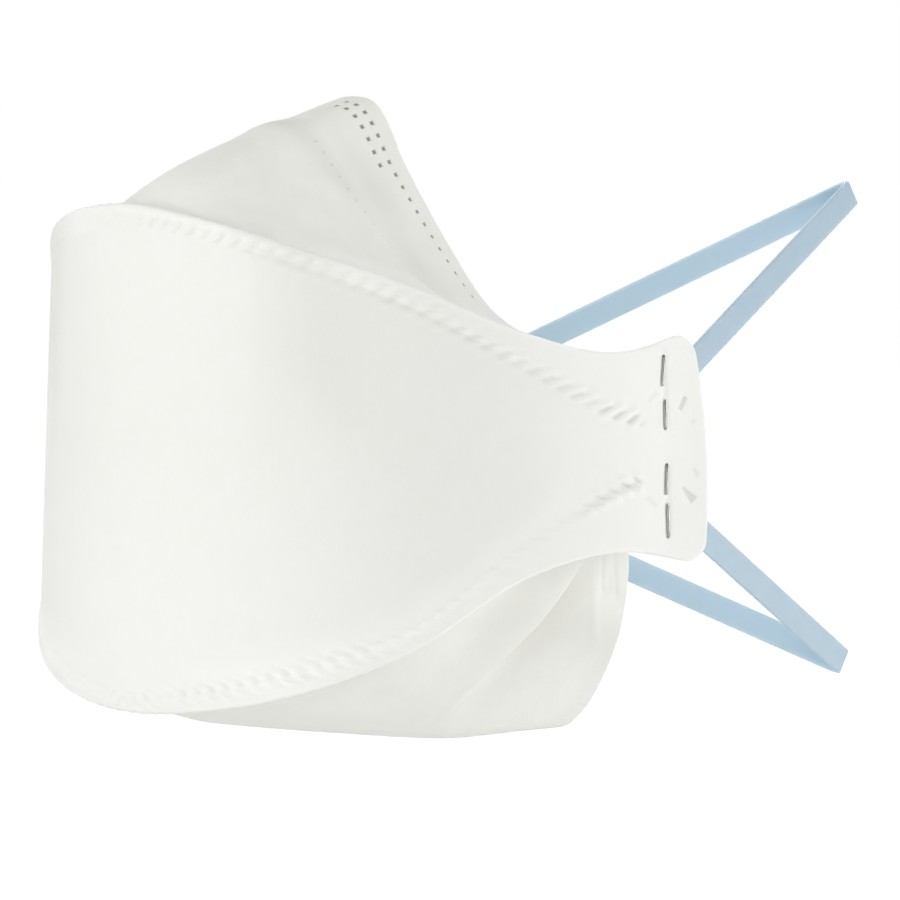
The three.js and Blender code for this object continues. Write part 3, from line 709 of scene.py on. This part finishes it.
def rim_distances(grid):
    """For each point of a soft panel's face: how far along the rim its column ends, and how far it is from the rim."""
    rim_steps = np.linalg.norm(np.diff(grid[:, -1], axis=0), axis=-1)
    along_rim = np.concatenate([[0], np.cumsum(rim_steps)])
    along_rim = along_rim - along_rim[len(along_rim) // 2]
    steps = np.linalg.norm(np.diff(grid, axis=1), axis=-1)
    from_seam = np.concatenate([np.zeros((len(grid), 1)), np.cumsum(steps, 1)], 1)
    return along_rim[:, None] + 0 * from_seam, from_seam[:, -1:] - from_seam


def rim_dents(along_rim, from_rim, rows):
    """How strongly the web is pressed by rows of square welds."""
    cell = np.abs(along_rim) / RIM_WELD_PITCH
    off = np.abs(cell - np.floor(cell) - 0.5) * RIM_WELD_PITCH
    press = 0 * off
    for row in rows:
        box = np.maximum(off, np.abs(from_rim - row["from_rim"])) + RIM_WELD_TAPER * np.abs(along_rim)
        square = row["press"] * (1 - smooth(box, row["half"] - RIM_WELD_EDGE, row["half"] + RIM_WELD_DENT))
        left = (along_rim > row["left"][0]) & (along_rim < row["left"][1])
        right = (-along_rim > row["right"][0]) & (-along_rim < row["right"][1])
        press += square * (left | right)
    return press


def soft_panel(name, grid, normals, share, v, weld_rows):
    """A soft panel's wall, rounded where it ends, with its welds sunk in and kept for its material."""
    along_rim, from_rim = rim_distances(grid)
    sunk = RIM_WELD_DEPTH * rim_dents(along_rim, from_rim, weld_rows)
    thick = roundness(np.minimum(v, 1 - v), ROUND_EDGE) * roundness(1 - np.abs(share), ROUND_END)
    middle = grid - normals * SOFT_WALL / 2
    outer = middle + normals * (thick * (SOFT_WALL - sunk) / 2)[..., None]
    panel = wall_mesh(name, outer, middle - normals * (thick * SOFT_WALL / 2)[..., None])
    keep_on_mesh(panel, along_rim=(along_rim, along_rim), from_rim=(from_rim, from_rim + INNER_FACE))
    return panel


edge_in = edge_steps(ROUND_EDGE, EDGE_ROWS)
rim_from = NOSE_STEPS["rim_from"]
body_steps = np.linspace(0, 1, NOSE_STEPS["body"] + 1)[1:] ** NOSE_STEPS["crowding"]
rim_steps = np.linspace(rim_from, 1 - ROUND_EDGE, NOSE_STEPS["rim"] + 1)[1:]
nose_rows = [edge_in, ROUND_EDGE + (rim_from - ROUND_EDGE) * body_steps, rim_steps, 1 - edge_in[-2::-1]]
share, v, grid, _ = soft_face("top_weld", -SEAM_TUCK, NOSE_RIM, np.concatenate(nose_rows))
grid += nose_shape(share, v)
nose_panel = soft_panel("nose_panel_cloth", grid, grid_normals(grid, share, v), share, v, RIM_ROWS)
# The painted shade on the nose panel, which its material reads.
side = np.abs(share)
above_lip = v - BESIDE_LIP["slant"] * (side - BESIDE_LIP["from"])
beside_lip = (1 - smooth(above_lip, *BESIDE_LIP["up"])) * smooth(side, *BESIDE_LIP["along"])
tint = NOSE_SHADE["by"] * (1 - smooth(side, *NOSE_SHADE["end"])) * (1 - beside_lip)
for by, *where in VALLEY_SHADE:
    tint += by * swell(side, *where) * swell(valley_place(side, v), 0, NOSE_VALLEY["half_width"])
tint += FOLD_SHADE["by"] * swell(v, *FOLD_SHADE["where"]) * (1 - smooth(side, *FOLD_SHADE["end"]))
keep_on_mesh(nose_panel, tint=(tint, 0 * tint))


def square_welds(rows):
    """The mask of a panel's rim welds, drawn from its distances along and from the rim."""

    def mask(tree):
        along_rim, from_rim = (
            add_node(tree, "Attribute", attribute_name=name).outputs["Fac"] for name in ("along_rim", "from_rim")
        )
        away = add_node(tree, "Math", {0: along_rim}, operation="ABSOLUTE")
        off = add_node(tree, "Math", {0: away, 1: RIM_WELD_PITCH / 2}, operation="ADD")
        off = add_node(tree, "Math", {0: off, 1: RIM_WELD_PITCH / 2}, operation="PINGPONG")
        total = 0.0
        for row in rows:
            box = add_node(tree, "Math", {0: from_rim, 1: row["from_rim"]}, operation="SUBTRACT")
            box = add_node(tree, "Math", {0: box}, operation="ABSOLUTE")
            box = add_node(tree, "Math", {0: box, 1: off}, operation="MAXIMUM")
            box = add_node(tree, "Math", {0: away, 1: RIM_WELD_TAPER, 2: box}, operation="MULTIPLY_ADD")
            low, high = row["half"] - RIM_WELD_EDGE, row["half"] + RIM_WELD_EDGE
            edge = {"From Min": low, "From Max": high, "To Min": row["press"], "To Max": 0}
            square = add_node(tree, "MapRange", {"Value": box, **edge}, interpolation_type="SMOOTHSTEP")
            for (start, end), side in ((row["left"], 1), (row["right"], -1)):
                window = {0: along_rim, 1: side * (start + end) / 2, 2: (end - start) / 2}
                inside = add_node(tree, "Math", window, operation="COMPARE")
                total = add_node(tree, "Math", {0: square, 1: inside, 2: total}, operation="MULTIPLY_ADD")
        return total

    return mask


# Spunbond polypropylene again, but a single thin cover web: off-white and more cloudy than the filter laminate,
# with welds that are melted through and look dark grey.
nose_panel.data.materials.append(
    nonwoven(
        "spunbond_cover_web",
        colour="#f3f3ef",
        cloud_colour="#ecece5",
        cloudiness=0.6,
        # the colour of the painted shade
        shade_colour="#dcdcd5",
        weld_colour="#8b8b84",
        weld_mask=square_welds(RIM_ROWS),
    )
)


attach(nose_panel, "root")
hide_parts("nose_panel")

# ---------------------------------------------------------------- Chin panel
# The lower cut of the same web, welded behind the front panel's bottom edge. It drops behind the lip and runs back
# under the chin. Its sides were folded flat in the packet and keep a soft crease from the ear tab forwards, with a
# hollow on each side of it. The rim is turned in and caught by faint spot welds.

CHIN_RIM = {
    "share": (0.0, 0.22, 0.4, 0.47, 0.53, 0.6, 0.7, 0.79, 0.88, 1.0),
    "x": (0.0, 20.0, 35.5, 41.2, 44.8, 47.8, 51.3, 53.2, 54.1, 57.0),
    "y": (-3.5, -3.0, -2.5, -2.0, -1.3, -0.6, 0.3, 0.5, 0.2, -5.8),
    "z": (-50.0, -50.3, -50.5, -49.8, -46.9, -42.5, -34.6, -27.1, -18.9, -10.2),
}
CHIN_DROP = {"full": (0.42, 0.5), "end": (0.4, 0.66)}  # it drops behind the lip before it runs back
CHIN_FOLDS = (0.36, 0.64, 0.8, 0.95)  # where the folds begin and end, from the nose line to the tab
CHIN_HOLLOW = {"where": (0.24, 0.1), "depth": 1.0, "along": (0.48, 0.62)}
CHIN_CREASE = {"front": 0.28, "top": 0.435, "back": 0.475, "softer": 0.13, "sharp": (0.45, 0.7), "height": 0.85}
CHIN_BACK = {"at": 0.49, "half_width": 0.035, "far_half_width": 0.14, "depth": 1.6}
CREASE_SAG = {"where": (0.5, 0.13), "by": 0.05}  # the crease runs nearer the seam there
CREASE_DROP = {"from": (0.5, 0.68), "by": -0.06}  # and farther from it towards the tab
CHIN_GATHERS = [
    # small puckers beside the ear tab: where they lie from seam to rim, and along the panel
    {"where": (0.655, 0.035), "depth": -0.2, "span": (0.66, 0.71, 0.78, 0.83)},
    {"where": (0.725, 0.018), "depth": 0.25, "span": (0.765, 0.79, 0.83, 0.87)},
    {"where": (0.855, 0.018), "depth": 0.25, "span": (0.77, 0.795, 0.84, 0.88)},
]
GATHER_SLANT = {"by": 1.5, "from": 0.82}
CHIN_LEAN = {"across": 0.8, "down": 0.6}  # which way the folds stand out
# Painted shade: behind the crease, in the hollow, on the crest, and in patches by tab and rim.
CREASE_SHADE = {"span": (0.46, 0.7, 0.72, 0.86), "behind": 0.9}
HOLLOW_SHADE = {"by": 0.4, "along": (0.52, 0.66)}
CREST_SHADE = {"by": 0.4, "where": (0.46, 0.03), "span": (0.42, 0.5, 0.7, 0.8)}
SHADED_PATCHES = [
    {"by": 0.5, "span": (0.6, 0.7, 0.7, 0.8), "from": (0.4, 0.75)},
    {"by": 0.45, "span": (0.76, 0.8, 0.87, 0.93), "from": (0.76, 0.86)},
]
# Rows lie closest along the crease. Each stretch from seam to rim has its start, its end and its number of rows.
CHIN_STEPS = [(ROUND_EDGE, 0.36, 22), (0.36, 0.48, 27), (0.48, 0.6, 12), (0.6, 0.97, 44), (0.97, 1 - ROUND_EDGE, 3)]
CHIN_ROWS = [{"from_rim": 3.0, "left": (44, 68), "right": (44, 68), "half": 0.35, "press": 0.06}]


def crease_place(s, v):
    """A place from seam to rim, shifted so that the crease lies at the same number all along it."""
    sag = CREASE_SAG["by"] * swell(s, *CREASE_SAG["where"])
    return v + sag + CREASE_DROP["by"] * smooth(s, *CREASE_DROP["from"])


def behind_crease(w):
    """1 in the bottom of the hollow behind the crease: steep on the crease's side, slow on the rim's."""
    half_width = np.where(w < CHIN_BACK["at"], CHIN_BACK["half_width"], CHIN_BACK["far_half_width"])
    return swell(w, CHIN_BACK["at"], half_width)


def chin_shape(share, v, rise):
    """How the chin panel stands off the straight line from seam to rim."""
    s = np.abs(share)
    first, later = CHIN_DROP["full"]
    level = 1 - (1 - np.minimum(1, v / (first + later * s))) ** 2
    drop = rise * (level - v) * (1 - smooth(s, *CHIN_DROP["end"]))
    w = crease_place(s, v)
    top, back = CHIN_CREASE["top"], CHIN_CREASE["back"]
    back = back + CHIN_CREASE["softer"] * (1 - smooth(s, *CHIN_CREASE["sharp"]))
    crease = CHIN_CREASE["height"] * span(w, CHIN_CREASE["front"], top, top, back)
    hollow = CHIN_HOLLOW["depth"] * swell(w, *CHIN_HOLLOW["where"]) * smooth(s, *CHIN_HOLLOW["along"])
    out = span(s, *CHIN_FOLDS) * (crease - hollow - CHIN_BACK["depth"] * behind_crease(w))
    slanting = v + GATHER_SLANT["by"] * (s - GATHER_SLANT["from"])
    for gather in CHIN_GATHERS:
        out -= gather["depth"] * span(s, *gather["span"]) * swell(slanting, *gather["where"])
    return np.stack([np.sign(share) * out * CHIN_LEAN["across"], 0 * s, drop - out * CHIN_LEAN["down"]], -1)


chin_rows = [np.linspace(start, end, count + 1)[1:] for start, end, count in CHIN_STEPS]
chin_rows = np.concatenate([edge_in, *chin_rows, 1 - edge_in[-2::-1]])
share, v, grid, rise = soft_face("bottom_weld", SEAM_TUCK, CHIN_RIM, chin_rows)
grid += chin_shape(share, v, rise)
chin_panel = soft_panel("chin_panel_cloth", grid, -grid_normals(grid, share, v), share, v, CHIN_ROWS)
chin_panel.data.flip_normals()
# The painted shade on the chin panel, which its material reads.
side, place = np.abs(share), crease_place(np.abs(share), v)
tint = HOLLOW_SHADE["by"] * swell(place, *CHIN_HOLLOW["where"]) * smooth(side, *HOLLOW_SHADE["along"])
tint = span(side, *CREASE_SHADE["span"]) * np.maximum(CREASE_SHADE["behind"] * behind_crease(place), tint)
patches = CREST_SHADE["by"] * swell(place, *CREST_SHADE["where"]) * span(side, *CREST_SHADE["span"])
for patch in SHADED_PATCHES:
    patches += patch["by"] * span(side, *patch["span"]) * smooth(v, *patch["from"])
tint = np.maximum(tint, patches)
keep_on_mesh(chin_panel, tint=(tint, 0 * tint))
# The same cover web as over the nose, a little whiter. Its spot welds are pressed so faintly that they hardly show.
chin_panel.data.materials.append(
    nonwoven(
        "spunbond_chin_web",
        colour="#f3f3ef",
        cloud_colour="#edede8",
        cloudiness=0.5,
        # the colour of the painted shade
        shade_colour="#e0e0d8",
        weld_colour="#8b8b84",
        weld_mask=square_welds(CHIN_ROWS),
    )
)
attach(chin_panel, "root")
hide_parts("chin_panel")

# ---------------------------------------------------------------- Headbands
# Two flat straps of pale blue synthetic rubber, cut from calendered sheet. Each is one length, stapled to both ear
# tabs. They are drawn back behind the mask, where each one turns on itself.

BAND_WIDTH = 4.8
BAND_THICK = 1.0
TURN_RADIUS = 1.6
BANDS = [
    {"node": "upper_headband", "height": 9.2, "turn": (0, 112.4, 36.6), "aim_off": -28.5},
    {"node": "lower_headband", "height": -10.3, "turn": (0, 110.7, -52.8), "aim_off": 14},
]
BAND_EDGE = 0.35  # the radius of its rounded edges
EDGE_POINTS = 4
BAND_END = 3  # how far it reaches past the staples, inside
BAND_LEAVES = 2.5  # and how far from them it leaves the tab
UNDER_TAB_POINTS = 7
BEND_SHARE = 0.08  # share of its way to the turn over which it bends away from the tab
BEND_EASE = 2.5
BEND_POINTS = 12
RUN_POINTS = 70
AIM_SHARE = 0.46  # share of its way by which the right half has come on to its line
TURN_POINTS = 16
GRAIN_PER_MM = (0.05, 3.0)  # drawn lines about 20 mm long and 0.3 mm apart
TALC_PER_MM = (0.12, 0.3)  # patches about 8 mm long and 3 mm wide


def unit(vector):
    return vector / np.linalg.norm(vector)


def run_point(side, leave, turn, aim_off, share):
    """The middle line of one half of a band past its bend."""
    point = leave + (turn - leave) * share
    if side < 0:
        point[2] += aim_off * (1 - share) * smooth(share, 0, AIM_SHARE)
    return point


def band_half(side, band, turn_start, turn_out):
    """Stations of one half of a band, from its end under the tab to where it starts to turn."""

    def under_tab(along):
        point = face_point(np.array(side * along), np.array(band["height"]), -(WALL + GAP + BAND_THICK / 2))
        return np.array([point[0], point[1], band["height"]])

    first, leave = under_tab(STAPLE_ALONG - BAND_END), under_tab(STAPLE_ALONG + BAND_LEAVES)
    tabward = unit(leave - first)
    _, _, out_x, out_y = face_plan(np.array(side * STAPLE_ALONG))
    tab_out = np.array([out_x, out_y, 0.0])

    def on_run(share):
        return run_point(side, leave, turn_start, band["aim_off"], share)

    ahead = unit(on_run(BEND_SHARE + 0.01) - on_run(BEND_SHARE))
    reach = np.linalg.norm(on_run(BEND_SHARE) - leave) / BEND_EASE
    pulls = [leave, leave + tabward * reach, on_run(BEND_SHARE) - ahead * reach, on_run(BEND_SHARE)]
    line = []
    for t in np.linspace(0, 1, BEND_POINTS):
        weights = [(1 - t) ** 3, 3 * t * (1 - t) ** 2, 3 * t * t * (1 - t), t**3]
        line.append(sum(w * p for w, p in zip(weights, pulls)))
    line += [on_run(share) for share in np.linspace(BEND_SHARE, 1, RUN_POINTS)[1:]]
    line = [first + (leave - first) * i / UNDER_TAB_POINTS for i in range(UNDER_TAB_POINTS)] + line
    outs = []
    for i in range(len(line)):
        t = smooth(i, UNDER_TAB_POINTS, len(line) - 1)
        outs.append(unit(tab_out * (1 - t) + turn_out * t))
    return line, outs


def arrival(side, band):
    """The direction in which one half comes to the turn."""
    turn = np.array(band["turn"], float)
    leave = face_point(np.array(side * STAPLE_ALONG), np.array(band["height"]), 0.0)
    return unit(turn - run_point(side, leave, turn, band["aim_off"], AIM_SHARE))


def band_line(band):
    """The middle line of a whole band, and the direction that its outer face looks at each point."""
    left, right = arrival(1, band), arrival(-1, band)
    axis, back = unit(np.cross(right, left)), unit(left + right)
    lateral = np.cross(back, axis)
    middle = np.array(band["turn"], float) - back * TURN_RADIUS

    def out_at(angle):
        return lateral * math.cos(angle) + back * math.sin(angle)

    start = math.acos(float(np.dot(left, back)))
    angles = np.linspace(start, math.pi - start, TURN_POINTS)
    first, last = angles[0], angles[-1]
    left_line, left_outs = band_half(1, band, middle + out_at(first) * TURN_RADIUS, out_at(first))
    right_line, right_outs = band_half(-1, band, middle + out_at(last) * TURN_RADIUS, out_at(last))
    line = left_line + [middle + out_at(a) * TURN_RADIUS for a in angles[1:-1]] + right_line[::-1]
    outs = left_outs + [out_at(a) for a in angles[1:-1]] + right_outs[::-1]
    return np.array(line), np.array(outs)


def strap_section(width, thick, radius):
    """The outline of a flat strap with rounded edges, as pairs across and out."""
    outline = []
    for sign_a, sign_b, turn_from in ((1, 1, 0), (-1, 1, 90), (-1, -1, 180), (1, -1, 270)):
        centre_a, centre_b = sign_a * (width / 2 - radius), sign_b * (thick / 2 - radius)
        for angle in np.radians(turn_from + np.linspace(0, 90, EDGE_POINTS)):
            outline.append((centre_a + radius * math.cos(angle), centre_b + radius * math.sin(angle)))
    return outline


def strap_mesh(name, line, outs, section):
    """A strap swept along its middle line, closed at both ends."""
    along = np.gradient(line, axis=0)
    along /= np.linalg.norm(along, axis=1, keepdims=True)
    across = np.cross(outs, along)
    across /= np.linalg.norm(across, axis=1, keepdims=True)
    square = np.cross(along, across)
    section = np.array(section)
    points = line[:, None] + across[:, None] * section[None, :, :1] + square[:, None] * section[None, :, 1:]
    sides = len(section)
    faces = []
    for i in range(len(line) - 1):
        for j in range(sides):
            k = (j + 1) % sides
            faces.append((i * sides + j, i * sides + k, (i + 1) * sides + k, (i + 1) * sides + j))
    faces.append(tuple(range(sides - 1, -1, -1)))
    last = (len(line) - 1) * sides
    faces.append(tuple(range(last, last + sides)))
    mesh = bpy.data.meshes.new(name)
    mesh.from_pydata((points.reshape(-1, 3) * MM).tolist(), [], faces)
    piece = bpy.data.objects.new(name, mesh)
    bpy.context.collection.objects.link(piece)
    mesh.shade_smooth()
    lengths = np.concatenate([[0], np.cumsum(np.linalg.norm(np.diff(line, axis=0), axis=1))])
    kept = {
        "strap_along": np.repeat(lengths, sides),
        "strap_across": np.tile(section[:, 0], len(line)),
        "strap_inside": np.tile(section[:, 1] < 0, len(line)),
    }
    for attribute, values in kept.items():
        mesh.attributes.new(attribute, "FLOAT", "POINT").data.foreach_set("value", values.astype(np.float32))
    return piece


# Polyisoprene rubber, calendered and slit: smooth and matt, with a fine drawn grain along it and a trace of talc. A
# little light passes through it, and its inner face is painted paler: painted light that keeps its shaded side pale.
rubber, tree = new_material("blue_polyisoprene_rubber")
along, across, inside = (
    add_node(tree, "Attribute", attribute_name=name).outputs["Fac"]
    for name in ("strap_along", "strap_across", "strap_inside")
)
on_strap = add_node(tree, "CombineXYZ", {"X": along, "Y": across})
drawn = add_node(tree, "Mapping", {"Vector": on_strap, "Scale": (*GRAIN_PER_MM, 1)})
grain = add_node(tree, "TexNoise", {"Vector": drawn, "Scale": 1.0, "Detail": 3})
talc = add_node(tree, "Mapping", {"Vector": on_strap, "Scale": (*TALC_PER_MM, 1)})
talc = add_node(tree, "TexNoise", {"Vector": talc, "Scale": 1.0, "Detail": 2})
dust = add_node(tree, "MapRange", {"Value": talc, "From Min": 0.4, "From Max": 0.75, "To Max": 0.5})
blue = add_node(tree, "Mix", {0: dust, 6: linear("#aec3d1"), 7: linear("#b6cad6")}, data_type="RGBA")
# Painted light: the inner face is painted paler, so that the far halves, which show it, stay as pale as the lit near
# halves.
blue = add_node(tree, "Mix", {0: inside, 6: blue.outputs[2], 7: linear("#c6dbe8")}, data_type="RGBA")
bump = add_node(tree, "Bump", {"Height": grain, "Strength": 0.25, "Distance": 0.05 * MM})
shader = add_node(
    tree,
    "BsdfPrincipled",
    {
        "Base Color": blue.outputs[2],
        "Roughness": 0.6,
        "IOR": 1.52,
        "Normal": bump,
        "Subsurface Weight": 0.7,
        "Subsurface Radius": (0.9, 1.0, 1.1),
        "Subsurface Scale": 1.2 * MM,
    },
)
finish_material(tree, shader)

for band in BANDS:
    line, outs = band_line(band)
    strap = strap_mesh(band["node"] + "_strap", line, outs, strap_section(BAND_WIDTH, BAND_THICK, BAND_EDGE))
    strap.data.materials.append(rubber)
    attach(strap, "root")
    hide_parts(band["node"])

# ---------------------------------------------------------------- Staples
# Flattened galvanised steel wire. Each crown lies inside over the band's end, and the legs come through the tab and
# are clinched towards each other on the outside, a little sunk into the laminate.

WIRE_HALF_WIDTH = 0.33
WIRE_HALF_DEPTH = 0.22
WIRE_BEND = 0.6
WIRE_TIP = 0.5  # length of the chisel cut on a leg's end
TIP_DEPTH = 0.4  # what is left of the wire's depth there
SCRATCH = 0.12  # mm between the marks of the drawing die
LEG_OUT = 0.04  # a leg's middle, from the laminate's face
CROWN_IN = -(WALL + GAP + BAND_THICK + WIRE_HALF_DEPTH)
STAPLES = [
    # legs: how much of the upper and the lower leg shows; askew: how far their tips lean towards the face's front
    {"node": "upper_left_staple", "side": 1, "up": 1, "legs": (5.3, 5.1), "askew": (0.6, -0.1)},
    {"node": "lower_left_staple", "side": 1, "up": -1, "legs": (5.3, 5.9), "askew": (0.35, 0.05)},
    {"node": "upper_right_staple", "side": -1, "up": 1, "legs": (5.2, 5.4), "askew": (-0.2, 0.3)},
    {"node": "lower_right_staple", "side": -1, "up": -1, "legs": (5.6, 5.2), "askew": (0.1, -0.3)},
]

# Steel wire, drawn, rolled flat and galvanised: a soft grey shine, with fine marks from the die along it.
steel, tree = new_material("galvanised_steel_wire")
place = add_node(tree, "TexCoord")
drawn = add_node(tree, "Mapping", {"Vector": place.outputs["Object"], "Scale": (1, 1, 0.15)})
scratches = add_node(tree, "TexNoise", {"Vector": drawn, "Scale": 1 / (SCRATCH * MM), "Detail": 3})
rough = {"From Min": 0.3, "From Max": 0.7, "To Min": 0.22, "To Max": 0.42}
rough = add_node(tree, "MapRange", {"Value": scratches, **rough})
bump = add_node(tree, "Bump", {"Height": scratches, "Strength": 0.2, "Distance": 0.03 * MM})
shader = add_node(
    tree,
    "BsdfPrincipled",
    {"Base Color": linear("#9d9e9a"), "Metallic": 1.0, "Roughness": rough, "Normal": bump},
)
finish_material(tree, shader)


def run_wire(across, out, up):
    """Draws the wire on in a straight line."""
    bpy.ops.mesh.extrude_region_move(TRANSFORM_OT_translate={"value": (out * MM, across * MM, up * MM)})


def bend_wire(out, up):
    """Turns the wire a quarter round, inwards."""
    bpy.ops.mesh.spin(steps=5, angle=math.pi / 2, center=(out * MM, 0, up * MM), axis=(0, 1, 0))


for staple in STAPLES:
    # Built with its wire in the plane y = 0: x is out of the laminate, z is up.
    end = STAPLE_CROWN / 2
    first_leg, last_leg = staple["legs"]
    first_askew, last_askew = (-staple["side"] * lean for lean in staple["askew"])
    bpy.ops.object.select_all(action="DESELECT")
    bpy.ops.mesh.primitive_circle_add(
        vertices=12, radius=WIRE_HALF_WIDTH * MM, fill_type="NGON", location=(0, 0, 0)
    )
    wire = bpy.context.object
    wire.name = staple["node"] + "_wire"
    bpy.ops.object.mode_set(mode="EDIT")
    bpy.ops.mesh.select_all(action="SELECT")
    bpy.ops.transform.resize(value=(TIP_DEPTH * WIRE_HALF_DEPTH / WIRE_HALF_WIDTH, 1, 1))
    bpy.ops.transform.translate(value=(LEG_OUT * MM, first_askew * MM, (end - first_leg) * MM))
    run_wire(-first_askew * WIRE_TIP / first_leg, 0, WIRE_TIP)
    bpy.ops.transform.resize(value=(1 / TIP_DEPTH, 1, 1))
    run_wire(-first_askew * (1 - WIRE_TIP / first_leg), 0, first_leg - WIRE_TIP - WIRE_BEND)
    bend_wire(LEG_OUT - WIRE_BEND, end - WIRE_BEND)
    run_wire(0, CROWN_IN - LEG_OUT + 2 * WIRE_BEND, 0)
    bend_wire(CROWN_IN + WIRE_BEND, end - WIRE_BEND)
    run_wire(0, 0, 2 * WIRE_BEND - STAPLE_CROWN)
    bend_wire(CROWN_IN + WIRE_BEND, WIRE_BEND - end)
    run_wire(0, LEG_OUT - CROWN_IN - 2 * WIRE_BEND, 0)
    bend_wire(LEG_OUT - WIRE_BEND, WIRE_BEND - end)
    run_wire(last_askew * (1 - WIRE_TIP / last_leg), 0, last_leg - WIRE_TIP - WIRE_BEND)
    run_wire(last_askew * WIRE_TIP / last_leg, 0, WIRE_TIP)
    bpy.ops.transform.resize(value=(TIP_DEPTH, 1, 1))
    bpy.ops.mesh.select_all(action="SELECT")
    bpy.ops.mesh.normals_make_consistent(inside=False)
    bpy.ops.object.mode_set(mode="OBJECT")
    along, height = np.array(staple["side"] * STAPLE_ALONG), np.array(staple["up"] * STAPLE_HEIGHT)
    _, _, out_x, out_y = face_plan(along)
    lean = face_point(along, height + STAPLE_CROWN / 2, 0.0) - face_point(along, height - STAPLE_CROWN / 2, 0.0)
    tilt = math.atan2(lean[0] * out_x + lean[1] * out_y, lean[2])
    wire.rotation_euler = (0, tilt, math.atan2(out_y, out_x))
    wire.location = Vector(face_point(along, height, 0.0).tolist()) * MM
    bpy.ops.object.transform_apply(location=True, rotation=True)
    bpy.ops.object.shade_smooth_by_angle(angle=math.radians(40))
    wire.data.materials.append(steel)
    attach(wire, "root")
    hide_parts(staple["node"])
